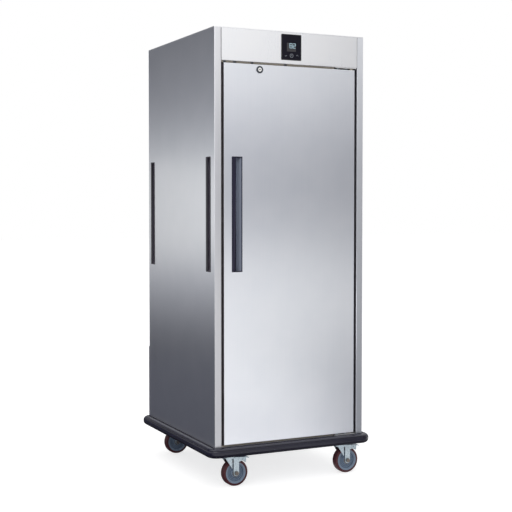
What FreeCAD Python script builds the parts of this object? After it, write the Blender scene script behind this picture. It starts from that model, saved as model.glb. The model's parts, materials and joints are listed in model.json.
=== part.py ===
import FreeCAD, Part
import math
import os

# Heated banquet cart, in millimetres. +Z is up, the front faces -Y, and the origin lies on the floor
# under the middle of the cart.

# Cabinet shell
total_height = 1800.0
body_width = 664.0
body_depth = 736.0
base_height = 36.0
sheet = 1.2
bend_radius = 2.4
base_sheet = 2.0
liner_sheet = 1.0
side_wall = 52.0
back_wall = 51.0
post_width = 29.0
rear_return = 16.0
fascia_height = 128.5
fascia_top_return = 20.0
seam = 0.4
lid_rim_height = 4.0
lid_rim_width = 8.0
floor_step = 1.0
ceiling_step = 6.0
top_insulation = 55.0
door_frame_depth = 10.0

# Base
channel_width = 80.0
channel_height = 26.0
channel_sheet = 3.0
channel_end_gap = 32.0
bumper_overhang = 32.0
bumper_drop = 1.0
bumper_corner = 45.0
bumper_round = 16.0
bumper_lip_height = 6.0
bumper_groove = 2.0
bumper_groove_depth = 5.5

# Door
door_gap = 11.0
door_gap_top = 8.5
door_gap_bottom = 6.0
door_thickness = 50.0
door_hem = 2.6
door_hem_radius = 2.0
door_trim_width = 14.0
gasket_width = 16.0
gasket_thickness = 9.7
gasket_inset = 14.0
gasket_clearance = 0.3
seal_margin = 4.0

# Door hinges
hinge_inset_side = 12.0
hinge_inset_front = 10.0
hinge_pin_radius = 3.5
hinge_pin_end_gap = 3.0
hinge_plate_length = 96.0
hinge_plate_width = 21.0
hinge_plate_thickness = 3.0
hinge_plate_end = 4.0
hinge_screw_insets = (14.0, 53.0)
bush_radius = 6.0
bush_depth = 22.0
bush_flange_radius = 9.0
bush_flange_top = 3.5
bush_thrust_gap = 0.3
running_clearance = 0.05

# Recessed grips, in the door and in both sides
grip_width = 45.0
grip_length = 450.0
grip_above_base = 684.0
grip_proud = 1.5
grip_lap = 2.0
grip_back_gap = 0.6
grip_wall = 2.0
grip_lip_width = 18.0
grip_lip_thickness = 3.0
grip_rim = 4.0
grip_ramp_foot = 20.0
grip_undercut = 6.0
grip_clearance = 0.2
door_grip_inset = 33.0
side_grip_front_inset = 84.0
side_grip_rear_inset = 27.0

# Lock
lock_inset = 153.0
lock_below_top = 20.0
lock_ring_radius = 14.5
lock_ring_proud = 3.0
lock_ring_round = 1.2
lock_sleeve_radius = 10.0
lock_plug_radius = 8.0
lock_plug_depth = 18.0
lock_tail_radius = 4.0
lock_rivet_radius = 6.0
lock_rivet_thickness = 2.5
keyway_width = 2.2
keyway_length = 9.0
keyway_depth = 8.0
cam_thickness = 3.5
cam_engagement = 5.0
cam_width = 12.0
cam_clearance = 2.0

# Control unit
controller_width = 88.0
controller_height = 102.0
controller_proud = 3.0
controller_corner = 3.0
controller_frame = 4.0
controller_lap = 6.0
controller_depth = 40.0
controller_below_top = 62.0
touch_front_thickness = 1.5

# Inside fittings
post_rail_width = 25.0
post_rail_depth = 12.0
post_rail_sheet = 1.5
post_rail_front_inset = 78.0
post_rail_rear_inset = 82.0
post_slot_pitch = 65.0
post_slot_width = 8.0
post_slot_height = 16.0
slide_height = 25.0
slide_ledge = 22.0
slide_sheet = 1.5
slide_overhang = 30.0
shelf_levels = 5
shelf_first_above_floor = 81.8
shelf_pitch = 260.0
shelf_side_gap = 10.0
shelf_rim_radius = 3.5
shelf_wire_radius = 2.0
shelf_wire_pitch = 28.0
shelf_wire_sink = 1.0
shelf_rest_gap = 0.1

# Air duct, fan and heater
duct_depth = 44.0
duct_sheet = 1.0
duct_side_gap = 10.0
duct_below_ceiling = 30.0
intake_slots = 9
intake_slot_length = 120.0
intake_slot_height = 7.0
intake_slot_pitch = 14.0
outlet_slot_length = 150.0
outlet_slot_height = 6.0
outlet_slot_spread = 150.0
fan_above_floor = 121.8
fan_radius = 75.0
fan_depth = 28.0
fan_blades = 20
fan_blade_length = 20.0
fan_blade_thickness = 1.5
fan_blade_lean = 35.0
fan_plate = 1.5
fan_hub_radius = 15.0
fan_gap = 7.0
shaft_radius = 4.0
shaft_hole_radius = 10.0
motor_radius = 42.0
motor_length = 55.0
motor_bore_depth = 30.0
motor_flange_radius = 52.0
motor_flange_thickness = 3.0
motor_box_width = 50.0
motor_box_depth = 22.0
motor_box_top = 62.0
motor_bay = 66.0
heater_ring_radius = 105.0
heater_tube_radius = 4.0
heater_gap_angle = 30.0
heater_bend = 10.0
heater_flange_width = 70.0
heater_flange_height = 24.0
heater_flange_thickness = 2.0
probe_radius = 3.0
probe_length = 40.0
probe_flange_radius = 8.0
probe_flange_thickness = 2.0
probe_below_ceiling = 180.0
probe_before_duct = 24.0

# Electrics at the rear
cover_depth = 22.0
cover_height = 311.0
cover_inset = 4.0
vent_slots = 8
vent_slot_length = 110.0
vent_slot_height = 4.0
vent_slot_pitch = 14.0
vent_from_side = 162.0
inlet_from_side = 102.0
inlet_above_base = 132.0
inlet_flange_width = 50.0
inlet_flange_height = 36.0
inlet_flange_thickness = 2.0
inlet_body_width = 38.0
inlet_body_height = 26.0
inlet_body_depth = 18.0
inlet_wall = 2.5
inlet_pin_width = 4.0
inlet_pin_thickness = 2.0
inlet_pin_length = 12.0
inlet_pin_spread = 7.0
inlet_pin_rise = 4.0
terminal_from_inlet = 120.0
terminal_length = 60.0
terminal_height = 24.0
terminal_depth = 14.0
terminal_ways = 5
terminal_way_depth = 4.0
lead_radius = 4.0
conduit_radius = 6.0
conduit_bend = 40.0
conduit_clearance = 1.0

# Screws
screw_radius = 2.5
screw_head_radius = 4.5
screw_head_height = 2.2
fascia_screw_places = (-215.0, -10.0, 150.0)
fascia_screw_depth = 34.0
cover_screw_inset = 14.0

# Casters
caster_from_side = 78.0
caster_from_end = 52.0
plate_length = 92.0
plate_width = 66.0
plate_thickness = 3.0
plate_corner = 8.0
bolt_edge = 10.5
bolt_radius = 4.0
bolt_head_radius = 7.0
bolt_head_height = 5.0
race_radius = 30.0
race_height = 5.5
swivel_gap = 0.3
crown_height = 9.2
wheel_headroom = 8.0
kingpin_radius = 6.0
kingpin_head_radius = 10.0
kingpin_head_height = 3.7
kingpin_head_gap = 0.3
wheel_radius = 53.0
wheel_trail = 28.0
tread_width = 32.0
tread_round = 6.0
hub_radius = 43.0
hub_boss_proud = 2.0
hub_boss_radius = 15.0
hub_rim = 5.0
hub_step = 4.0
hub_web = 9.0
axle_radius = 5.0
axle_head_radius = 9.0
axle_head_height = 6.0
fork_sheet = 3.0
fork_side_gap = 0.5
fork_leg_width = 24.0
fork_gusset_reach = 20.0
fork_gusset_foot = 17.0
fork_relief = 5.0
fork_ear = 9.0
fork_pin_wall = 1.5
fork_ear_reach = 6.0
fork_ear_chamfer = 3.5
pedal_pivot_x = 55.0
pedal_pivot_rise = 0.0
pedal_pin_radius = 3.0
pedal_eye_radius = 5.5
pedal_side_gap = 3.5
pedal_reach = 32.0
pedal_thickness = 4.0
pedal_crest = 20.0
pedal_shoe_near = 7.0
pedal_shoe_far = 18.0
pedal_shoe_drop = 16.0
pedal_press = 12.0
brake_clearance = 0.4

V = FreeCAD.Vector
X, Y, Z = V(1, 0, 0), V(0, 1, 0), V(0, 0, 1)

# Planes that several pieces share
half_width = body_width / 2
front = -body_depth / 2
back = body_depth / 2
crown_bottom = 2 * wheel_radius + wheel_headroom
crown_top = crown_bottom + crown_height
base_bottom = crown_top + swivel_gap + race_height + plate_thickness
body_bottom = base_bottom + base_height
shell_top = total_height - lid_rim_height
jamb = half_width - post_width
fascia_bottom = total_height - fascia_height
sill_top = body_bottom + sheet
door_half = jamb - door_gap
door_bottom = sill_top + door_gap_bottom
door_top = fascia_bottom - door_gap_top
door_rear = front + door_thickness
seal_plane = door_rear + gasket_thickness + gasket_clearance
frame_rear = seal_plane + door_frame_depth
seal_inset = gasket_inset + gasket_width + seal_margin
opening_half = door_half - seal_inset
opening_bottom = door_bottom + seal_inset
opening_top = door_top - seal_inset
cavity_floor = opening_bottom - floor_step
cavity_ceiling = opening_top + ceiling_step
liner_side = half_width - side_wall
liner_rear = back - back_wall
hinge_x = door_half - hinge_inset_side
hinge_y = front + hinge_inset_front
hinge_plate_right = jamb - hinge_plate_end
hinge_plate_left = hinge_plate_right - hinge_plate_length
grip_depth = post_width - sheet - grip_wall - grip_back_gap
grip_bottom = body_bottom + grip_above_base
lock_x = -door_half + lock_inset
lock_z = door_top - lock_below_top
cam_front = front + lock_plug_depth
cam_rear = cam_front + cam_thickness
cam_reach = lock_below_top + door_gap_top + cam_engagement
controller_z = total_height - controller_below_top
duct_front = liner_rear - duct_depth
duct_half = liner_side - duct_side_gap
post_rail_front = frame_rear + post_rail_front_inset
post_rail_rear = duct_front - duct_sheet - post_rail_rear_inset
slide_front = post_rail_front - slide_overhang
slide_rear = post_rail_rear + slide_overhang
slide_outer = liner_side - post_rail_depth
shelf_first = cavity_floor + shelf_first_above_floor
fan_height = cavity_floor + fan_above_floor
vent_centre = half_width - vent_from_side
inlet_centre = -half_width + inlet_from_side
inlet_height = body_bottom + inlet_above_base
terminal_centre = inlet_centre + terminal_from_inlet
conduit_y = liner_rear + liner_sheet + motor_flange_thickness + motor_box_depth / 2
caster_x = half_width - caster_from_side
caster_y = back - caster_from_end
bolt_spread_x = plate_length / 2 - bolt_edge
bolt_spread_y = plate_width / 2 - bolt_edge
hub_width = tread_width + 2 * hub_boss_proud
fork_inner = hub_width / 2 + fork_side_gap
fork_outer = fork_inner + fork_sheet
pedal_pivot_height = 2 * wheel_radius + pedal_pivot_rise

# Lengths of the cutting tools: clear through the cart, and a little past a face
through = body_depth
skim = sheet


def box(low, high):
    """Block between two opposite corners."""
    size = [b - a for a, b in zip(low, high)]
    return Part.makeBox(size[0], size[1], size[2], V(*low))


def rod(start, direction, radius, length):
    """Round bar from a point along a direction."""
    return Part.makeCylinder(radius, length, V(*start), direction)


def prism(points, along):
    """Straight solid on a closed outline of points."""
    corners = [V(*p) for p in points]
    return Part.Face(Part.makePolygon(corners + corners[:1])).extrude(along)


def hexagon(centre, direction, radius, height):
    """Six-sided bolt head or nut with its axis along Y or Z."""
    points = []
    for i in range(6):
        a, b = (radius * f(math.radians(60 * i)) for f in (math.cos, math.sin))
        offset = (a, 0, b) if direction.y else (a, b, 0)
        points.append([c + o for c, o in zip(centre, offset)])
    return prism(points, direction * height)


def fuse(pieces):
    """One solid from pieces that overlap or share faces."""
    return pieces[0].fuse(pieces[1:]).removeSplitter()


def mirrored(shape):
    """The same piece on the other side of the cart."""
    return shape.mirror(V(0, 0, 0), X)


def upright_edges(shape, places):
    """Vertical edges of a shape that stand at the given (x, y) places."""
    found = []
    for edge in shape.Edges:
        ends = [v.Point for v in edge.Vertexes]
        if len(ends) == 2 and abs(ends[0].x - ends[1].x) + abs(ends[0].y - ends[1].y) < 1e-6:
            if any(math.hypot(ends[0].x - x, ends[0].y - y) < 1e-4 for x, y in places):
                found.append(edge)
    return found


def rounded_block(low, high, radius):
    """Block with its four vertical edges rounded."""
    shape = box(low, high)
    corners = [(x, y) for x in (low[0], high[0]) for y in (low[1], high[1])]
    return shape.makeFillet(radius, upright_edges(shape, corners))


def frame_ring(half_outer, low_outer, high_outer, half_inner, low_inner, high_inner, y_front, y_rear):
    """Rectangular ring that stands upright, between two depths."""
    outer = box((-half_outer, y_front, low_outer), (half_outer, y_rear, high_outer))
    return outer.cut(box((-half_inner, y_front - skim, low_inner), (half_inner, y_rear + skim, high_inner)))


def save(node, *solids):
    """Write the solids of one node."""
    shape = solids[0] if len(solids) == 1 else Part.makeCompound(list(solids))
    shape.exportStep(os.path.join("parts", node + ".step"))


# Recessed grip: u runs across it, v into the wall, and it stands along Z. Its lip is on the side u = 0.
def grip():
    """Moulded cup with a ramp, and the flat lip that clips over its open side."""
    side = grip_lap + grip_clearance
    end = side + grip_wall
    lip = fuse([box((0, -grip_proud, 0), (grip_lip_width, 0, grip_length)),
                box((side, 0, side), (grip_lip_width, grip_lip_thickness, grip_length - side))])
    flange = box((grip_lip_width, -grip_proud, 0), (grip_width, 0, grip_length))
    body = box((side, 0, side), (grip_width - side, grip_depth + grip_wall, grip_length - side))
    hollow = prism([
        (grip_lip_width, -grip_proud - skim, end),
        (grip_width - grip_rim, -grip_proud - skim, end),
        (grip_width - grip_rim, 0, end),
        (grip_ramp_foot, grip_depth, end),
        (grip_undercut, grip_depth, end),
        (grip_undercut, 0, end),
        (grip_lip_width, 0, end),
    ], Z * (grip_length - 2 * end))
    return fuse([flange, body]).cut(hollow).cut(lip), lip


def grip_cutout(deep):
    """Hole that a grip goes into, from outside the wall to a depth."""
    edge = grip_lap
    return box((edge, -skim, edge), (grip_width - edge, deep, grip_length - edge))


def grip_pocket():
    """Room for a grip in the insulation."""
    return grip_cutout(grip_depth + grip_wall + grip_clearance)


def on_door(shape):
    return shape.translated(V(-door_half + door_grip_inset, front, grip_bottom))


def on_left_side(shape, rear_edge):
    turned = shape.rotated(V(0, 0, 0), Z, -90)
    return turned.translated(V(-half_width, rear_edge, grip_bottom))


side_grip_edges = (front + side_grip_front_inset, back - side_grip_rear_inset)


# Cabinet shell
def side_panel():
    """Left side, welded flush: front and rear post, middle sheet, infills over and under each grip."""
    low, high = body_bottom, shell_top
    side = box((-half_width, front, low), (-half_width + sheet, back - sheet, high))
    post = box((-half_width, front, low), (-jamb, front + sheet, high))
    inner = box((-jamb - sheet, front, low), (-jamb, frame_rear, high))
    rear = box((-half_width, back - 2 * sheet, low), (-half_width + rear_return, back - sheet, high))
    shape = fuse([side, post, inner, rear])
    bends = [(-half_width, front), (-jamb, front), (-half_width, back - sheet)]
    shape = shape.makeFillet(bend_radius, upright_edges(shape, bends))
    hole_low, hole_high = grip_bottom + grip_lap, grip_bottom + grip_length - grip_lap
    holes = [(edge - grip_width + grip_lap, edge - grip_lap) for edge in side_grip_edges]
    (start, ahead), (behind, end) = holes
    spans = [(ahead, behind, low, high)]
    for y0, y1 in holes:
        spans += [(y0, y1, low, hole_low), (y0, y1, hole_high, high)]
    sheets = [box((-half_width, y0, z0), (-half_width + sheet, y1, z1)) for y0, y1, z0, z1 in spans]
    posts = shape.cut(box((-half_width - skim, start, low - skim), (-half_width + sheet, end, high + skim)))
    return posts.Solids + sheets


def base_frame():
    outer = box((-half_width, front, base_bottom), (half_width, back, body_bottom))
    floor = base_bottom + base_sheet
    inner = box((-half_width + base_sheet, front + base_sheet, floor),
                (half_width - base_sheet, back - base_sheet, body_bottom + skim))
    shape = outer.cut(inner)
    channel_half = half_width - channel_end_gap
    for y in (-caster_y, caster_y):
        low = (-channel_half, y - channel_width / 2, floor)
        high = (channel_half, y + channel_width / 2, floor + channel_height)
        channel = box(low, high)
        channel = channel.cut(box((low[0] - skim, low[1] + channel_sheet, floor + channel_sheet),
                                  (high[0] + skim, high[1] - channel_sheet, high[2] + skim)))
        shape = fuse([shape, channel])
    for x, y in bolt_places():
        shape = shape.cut(rod((x, y, base_bottom - skim), Z, bolt_radius, base_height))
    return shape


def bumper():
    low, high = base_bottom - bumper_drop, body_bottom
    x, y = half_width + bumper_overhang, back + bumper_overhang
    shape = rounded_block((-x, -y, low), (x, y, high), bumper_corner)
    rims = [e for e in shape.Edges if abs(e.BoundBox.ZLength) < 1e-6]
    shape = shape.makeFillet(bumper_round, rims)
    top = high - bumper_lip_height
    bottom, deep = top - bumper_groove, bumper_groove_depth
    groove = rounded_block((-x - skim, -y - skim, bottom), (x + skim, y + skim, top), bumper_corner)
    core = rounded_block((-x + deep, -y + deep, bottom - skim), (x - deep, y - deep, top + skim),
                         bumper_corner - deep)
    shape = shape.cut(groove.cut(core))
    return shape.cut(box((-half_width, front, low - skim), (half_width, back, high + skim)))


def back_panel():
    shape = box((-half_width, back - sheet, body_bottom), (half_width, back, shell_top))
    bay = box((-motor_bay, back - 2 * sheet, fan_height - motor_bay),
              (motor_bay, back + sheet, fan_height + motor_bay))
    shape = shape.cut(bay)
    for x, z in cover_screw_places():
        shape = shape.cut(rod((x, back - 2 * sheet, z), Y, screw_radius, 4 * sheet))
    return shape


def top_panel():
    lid = box((-half_width, front, shell_top), (half_width, back, total_height))
    x, y = half_width - lid_rim_width, back - lid_rim_width
    hollow = box((-x, -y, shell_top - skim), (x, y, total_height - sheet))
    shape = lid.cut(hollow)
    corners = [(a * half_width, b * back) for a in (-1, 1) for b in (-1, 1)]
    return shape.makeFillet(bend_radius, upright_edges(shape, corners))


def fascia():
    x = jamb - seam
    plate = box((-x, front, fascia_bottom), (x, front + sheet, shell_top))
    lower = box((-x, front, fascia_bottom), (x, frame_rear, fascia_bottom + sheet))
    upper = box((-x, front, shell_top - sheet), (x, front + fascia_top_return, shell_top))
    shape = fuse([plate, lower, upper])
    edges = [e for e in shape.Edges if abs(e.BoundBox.XLength - 2 * x) < 1e-6
             and abs(e.BoundBox.YMax - front) < 1e-6 and abs(e.BoundBox.ZMax - fascia_bottom) < 1e-6]
    shape = shape.makeFillet(bend_radius, edges)
    w, h = controller_width / 2 - controller_lap, controller_height / 2 - controller_lap
    window = box((-w, front - skim, controller_z - h), (w, front + 2 * sheet, controller_z + h))
    reach_left = math.sqrt(cam_reach ** 2 - (fascia_bottom - lock_z) ** 2) + cam_clearance
    strike = box((lock_x - reach_left - cam_clearance, cam_front - cam_clearance, fascia_bottom - skim),
                 (lock_x + cam_width / 2 + cam_clearance, cam_rear + cam_clearance,
                  fascia_bottom + 2 * sheet))
    shape = shape.cut(window).cut(strike)
    for x in fascia_screw_places:
        hole = rod((x, front + fascia_screw_depth, fascia_bottom - skim), Z, screw_radius, 4 * sheet)
        shape = shape.cut(hole)
    return shape


def sill():
    return box((-jamb, front, body_bottom), (jamb, frame_rear, sill_top))


def door_frame():
    return frame_ring(jamb, sill_top, fascia_bottom, opening_half, opening_bottom,
                      opening_top, seal_plane, frame_rear)


def liner_sheets():
    """Left, back, ceiling and floor sheets of the heated cavity; the right one mirrors the left."""
    t = liner_sheet
    left = box((-liner_side - t, frame_rear, cavity_floor - t),
               (-liner_side, liner_rear + t, cavity_ceiling + t))
    rear = box((-liner_side, liner_rear, cavity_floor - t), (liner_side, liner_rear + t, cavity_ceiling + t))
    rear = rear.cut(rod((0, liner_rear - skim, fan_height), Y, shaft_hole_radius, 2 * skim + t))
    for x in heater_leg_places():
        leg_z = fan_height + heater_leg_height()
        rear = rear.cut(rod((x, liner_rear - skim, leg_z), Y, heater_tube_radius, 2 * skim + t))
    ceiling = box((-liner_side, frame_rear, cavity_ceiling), (liner_side, liner_rear, cavity_ceiling + t))
    floor = box((-liner_side, frame_rear, cavity_floor - t), (liner_side, liner_rear, cavity_floor))
    return left, rear, ceiling, floor


def insulation():
    """Slabs between shell and liner: left, right, back, top and floor."""
    inner, outer = liner_side + liner_sheet, half_width - sheet
    rear = liner_rear + liner_sheet
    high = shell_top - sheet
    left = box((-outer, frame_rear, body_bottom), (-inner, rear, high))
    for edge in side_grip_edges:
        left = left.cut(on_left_side(grip_pocket(), edge))
    slab_back = box((-outer, rear, body_bottom), (outer, back - 2 * sheet, high))
    slab_back = slab_back.cut(box((-motor_bay, rear - skim, fan_height - motor_bay),
                                  (motor_bay, back, fan_height + motor_bay)))
    chase = conduit_radius + conduit_clearance
    slab_back = slab_back.cut(box((-chase, rear - skim, fan_height),
                                  (chase, conduit_y + chase, controller_z + chase)))
    for x in heater_leg_places():
        slab_back = slab_back.cut(rod((x, rear - skim, fan_height + heater_leg_height()), Y,
                                      heater_tube_radius + running_clearance, back_wall / 2 + skim))
    pocket = on_left_side(grip_pocket(), side_grip_edges[1])
    slab_back = slab_back.cut(pocket).cut(mirrored(pocket))
    lid = cavity_ceiling + liner_sheet
    top = box((-inner, frame_rear, lid), (inner, rear, lid + top_insulation))
    under = base_bottom + base_sheet + channel_height
    floor = box((-inner, frame_rear, under), (inner, rear, cavity_floor - liner_sheet))
    return left, mirrored(left), slab_back, top, floor


# Door, shut
def door_skin():
    shape = box((-door_half, front, door_bottom), (door_half, front + sheet + door_hem, door_top))
    hollow = box((-door_half + sheet, front + sheet, door_bottom + sheet),
                 (door_half - sheet, front + sheet + door_hem + skim, door_top - sheet))
    rim = [e for e in shape.Edges if abs(e.BoundBox.YMax - front) < 1e-6]
    shape = shape.makeFillet(door_hem_radius, rim).cut(hollow)
    shape = shape.cut(on_door(grip_cutout(2 * sheet)))
    return shape.cut(rod((lock_x, front - skim, lock_z), Y, lock_sleeve_radius, 4 * sheet))


def lock_room():
    """Space inside the door for the lock's sleeve and for the swing of its cam."""
    sleeve = rod((lock_x, front, lock_z), Y, lock_sleeve_radius + running_clearance, lock_plug_depth)
    reach = cam_reach + cam_clearance
    below = cam_width / 2 + cam_clearance
    pocket = box((lock_x - reach, cam_front - cam_clearance / 2, lock_z - below),
                 (lock_x + below, cam_rear + lock_rivet_thickness + cam_clearance / 2, door_top + skim))
    return fuse([sleeve, pocket])


def bush_holes():
    tall = bush_depth
    return [rod((hinge_x, hinge_y, z), Z, bush_radius, tall) for z in (door_bottom, door_top - tall)]


def door_edge_trim():
    hem_end = front + sheet + door_hem
    inside = door_half - door_trim_width
    low, high = door_bottom + door_trim_width, door_top - door_trim_width
    nose = frame_ring(door_half - sheet, door_bottom + sheet, door_top - sheet, inside, low, high,
                      front + sheet, hem_end)
    body = frame_ring(door_half, door_bottom, door_top, inside, low, high, hem_end, door_rear - liner_sheet)
    shape = fuse([nose, body]).cut(lock_room())
    for hole in bush_holes():
        shape = shape.cut(hole)
    return shape


def door_liner():
    return box((-door_half, door_rear - liner_sheet, door_bottom), (door_half, door_rear, door_top))


def door_core():
    w = door_trim_width
    shape = box((-door_half + w, front + sheet, door_bottom + w),
                (door_half - w, door_rear - liner_sheet, door_top - w))
    shape = shape.cut(on_door(grip_pocket()))
    shape = shape.cut(lock_room())
    for hole in bush_holes():
        shape = shape.cut(hole)
    return shape


def door_gasket():
    low, high = door_bottom + gasket_inset, door_top - gasket_inset
    half = door_half - gasket_inset
    w = gasket_width
    return frame_ring(half, low, high, half - w, low + w, high - w, door_rear, seal_plane - gasket_clearance)


# Pivot hinges: a plate with a pin above and below the door, and a flanged bush in the door
def door_hinges():
    y_low = front + sheet
    y_high = y_low + hinge_plate_width
    top = fascia_bottom - hinge_plate_thickness
    low = sill_top + hinge_plate_thickness
    upper = box((hinge_plate_left, y_low, top), (hinge_plate_right, y_high, fascia_bottom))
    lower = box((hinge_plate_left, y_low, sill_top), (hinge_plate_right, y_high, low))
    reach = bush_depth - hinge_pin_end_gap
    upper_pin = rod((hinge_x, hinge_y, door_top - reach), Z, hinge_pin_radius, top - door_top + reach)
    lower_pin = rod((hinge_x, hinge_y, low), Z, hinge_pin_radius, door_bottom + reach - low)
    upper, lower = fuse([upper, upper_pin]), fuse([lower, lower_pin])
    for x, y in hinge_screw_places():
        upper = upper.cut(rod((x, y, top - skim), Z, screw_radius, hinge_plate_thickness + 2 * skim))
        lower = lower.cut(rod((x, y, sill_top - skim), Z, screw_radius, hinge_plate_thickness + 2 * skim))
    return upper, lower


def hinge_bushes():
    thrust = door_bottom - sill_top - hinge_plate_thickness - bush_thrust_gap
    bore = hinge_pin_radius + running_clearance
    lower = fuse([rod((hinge_x, hinge_y, door_bottom), Z, bush_radius, bush_depth),
                  rod((hinge_x, hinge_y, door_bottom - thrust), Z, bush_flange_radius, thrust)])
    upper = fuse([rod((hinge_x, hinge_y, door_top - bush_depth), Z, bush_radius, bush_depth),
                  rod((hinge_x, hinge_y, door_top), Z, bush_flange_radius, bush_flange_top)])
    return [s.cut(rod((hinge_x, hinge_y, 0), Z, bore, total_height)) for s in (lower, upper)]


# Lock: sleeve in the door, plug with keyway, and the cam that turns up into the fascia
def lock_barrel():
    ring = rod((lock_x, front - lock_ring_proud, lock_z), Y, lock_ring_radius, lock_ring_proud)
    rim = [e for e in ring.Edges if abs(e.BoundBox.YMax - front + lock_ring_proud) < 1e-6]
    ring = ring.makeFillet(lock_ring_round, rim)
    sleeve = rod((lock_x, front, lock_z), Y, lock_sleeve_radius, lock_plug_depth - bush_thrust_gap)
    bore = rod((lock_x, front - through, lock_z), Y, lock_plug_radius + running_clearance, 2 * through)
    return fuse([ring, sleeve]).cut(bore)


def lock_plug():
    nose = front - lock_ring_proud
    head = rod((lock_x, nose, lock_z), Y, lock_plug_radius, cam_front - nose)
    tail = rod((lock_x, cam_front, lock_z), Y, lock_tail_radius, cam_thickness)
    rivet = rod((lock_x, cam_rear, lock_z), Y, lock_rivet_radius, lock_rivet_thickness)
    slot = box((lock_x - keyway_length / 2, nose - skim, lock_z - keyway_width / 2),
               (lock_x + keyway_length / 2, nose + keyway_depth, lock_z + keyway_width / 2))
    return fuse([head, tail, rivet]).cut(slot)


def lock_cam():
    half = cam_width / 2
    arm = box((lock_x - cam_reach, cam_front, lock_z - half), (lock_x, cam_rear, lock_z + half))
    eye = rod((lock_x, cam_front, lock_z), Y, half, cam_thickness)
    hole = rod((lock_x, cam_front - skim, lock_z), Y, lock_tail_radius, cam_thickness + 2 * skim)
    return fuse([arm, eye]).cut(hole)


# Control unit in the fascia
def plate_across(half_w, half_h, radius, y_front, y_rear):
    """Upright plate centred on the control unit, with rounded corners."""
    flat = rounded_block((-half_w, -half_h, 0), (half_w, half_h, y_rear - y_front), radius)
    return flat.rotated(V(0, 0, 0), X, 90).translated(V(0, y_rear, controller_z))


def controller_body():
    w, h = controller_width / 2, controller_height / 2
    nose = front - controller_proud
    bezel = plate_across(w, h, controller_corner, nose, front)
    lap = controller_lap + grip_clearance
    rear = plate_across(w - lap, h - lap, controller_corner, front, front + controller_depth)
    recess = plate_across(w - controller_frame, h - controller_frame, controller_corner / 2,
                          nose - skim, nose + touch_front_thickness)
    return fuse([bezel, rear]).cut(recess)


def controller_front():
    w, h = controller_width / 2 - controller_frame, controller_height / 2 - controller_frame
    nose = front - controller_proud
    return plate_across(w, h, controller_corner / 2, nose, nose + touch_front_thickness)


# Shelving inside
def rack_posts():
    posts = []
    x_face = slide_outer
    for y in (post_rail_front, post_rail_rear):
        low, high = y - post_rail_width / 2, y + post_rail_width / 2
        rail = box((-liner_side, low, cavity_floor), (-x_face, high, cavity_ceiling))
        rail = rail.cut(box((-liner_side - skim, low + post_rail_sheet, cavity_floor - skim),
                            (-x_face - post_rail_sheet, high - post_rail_sheet, cavity_ceiling + skim)))
        slots = int((cavity_ceiling - shelf_first) / post_slot_pitch)
        first = shelf_first - slide_sheet - post_rail_sheet
        holes = [box((-x_face - 2 * post_rail_sheet, y - post_slot_width / 2, z - post_slot_height),
                     (-x_face + skim, y + post_slot_width / 2, z))
                 for z in (first + i * post_slot_pitch for i in range(slots))]
        rail = rail.cut(holes)
        posts += [rail, mirrored(rail)]
    return posts


def shelf_heights():
    return [shelf_first + i * shelf_pitch for i in range(shelf_levels)]


def shelf_slides():
    slides = []
    outer = slide_outer
    for z in shelf_heights():
        ledge = box((-outer, slide_front, z - slide_sheet), (-outer + slide_ledge, slide_rear, z))
        leg = box((-outer, slide_front, z - slide_height), (-outer + slide_sheet, slide_rear, z))
        slide = fuse([ledge, leg])
        slides += [slide, mirrored(slide)]
    return slides


def wire_shelf():
    """Wire shelf with its lowest point at height 0."""
    r, w = shelf_rim_radius, shelf_wire_radius
    half = slide_outer - shelf_side_gap - r
    y_low, y_high = slide_front + r, slide_rear - r
    pieces = [rod((s * half, y_low, r), Y, r, y_high - y_low) for s in (-1, 1)]
    pieces += [rod((-half, y, r), X, r, 2 * half) for y in (y_low, y_high)]
    pieces += [Part.makeSphere(r, V(s * half, y, r)) for s in (-1, 1) for y in (y_low, y_high)]
    count = int((2 * half - shelf_wire_pitch / 2) / shelf_wire_pitch)
    step = 2 * half / (count + 1)
    level = 2 * r + w - shelf_wire_sink
    pieces += [rod((-half + i * step, y_low, level), Y, w, y_high - y_low) for i in range(1, count + 1)]
    return fuse(pieces)


# Air duct on the rear wall, with the fan and the ring heater behind it
def air_baffle():
    half = duct_half
    low, high = cavity_floor, cavity_ceiling - duct_below_ceiling
    face = box((-half, duct_front - duct_sheet, low), (half, duct_front, high))
    left = box((-half, duct_front, low), (-half + duct_sheet, liner_rear, high))
    right = box((half - duct_sheet, duct_front, low), (half, liner_rear, high))
    cap = box((-half, duct_front, high - duct_sheet), (half, liner_rear, high))
    shape = fuse([face, left, right, cap])
    near, far = duct_front - 2 * duct_sheet, duct_front + duct_sheet
    holes = []
    for i in range(intake_slots):
        z = fan_height + (i - (intake_slots - 1) / 2) * intake_slot_pitch
        holes.append(box((-intake_slot_length / 2, near, z - intake_slot_height / 2),
                         (intake_slot_length / 2, far, z + intake_slot_height / 2)))
    for level in shelf_heights():
        z = level + shelf_pitch / 2
        for x in (-outlet_slot_spread, outlet_slot_spread):
            holes.append(box((x - outlet_slot_length / 2, near, z - outlet_slot_height / 2),
                             (x + outlet_slot_length / 2, far, z + outlet_slot_height / 2)))
    return shape.cut(holes)


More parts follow.
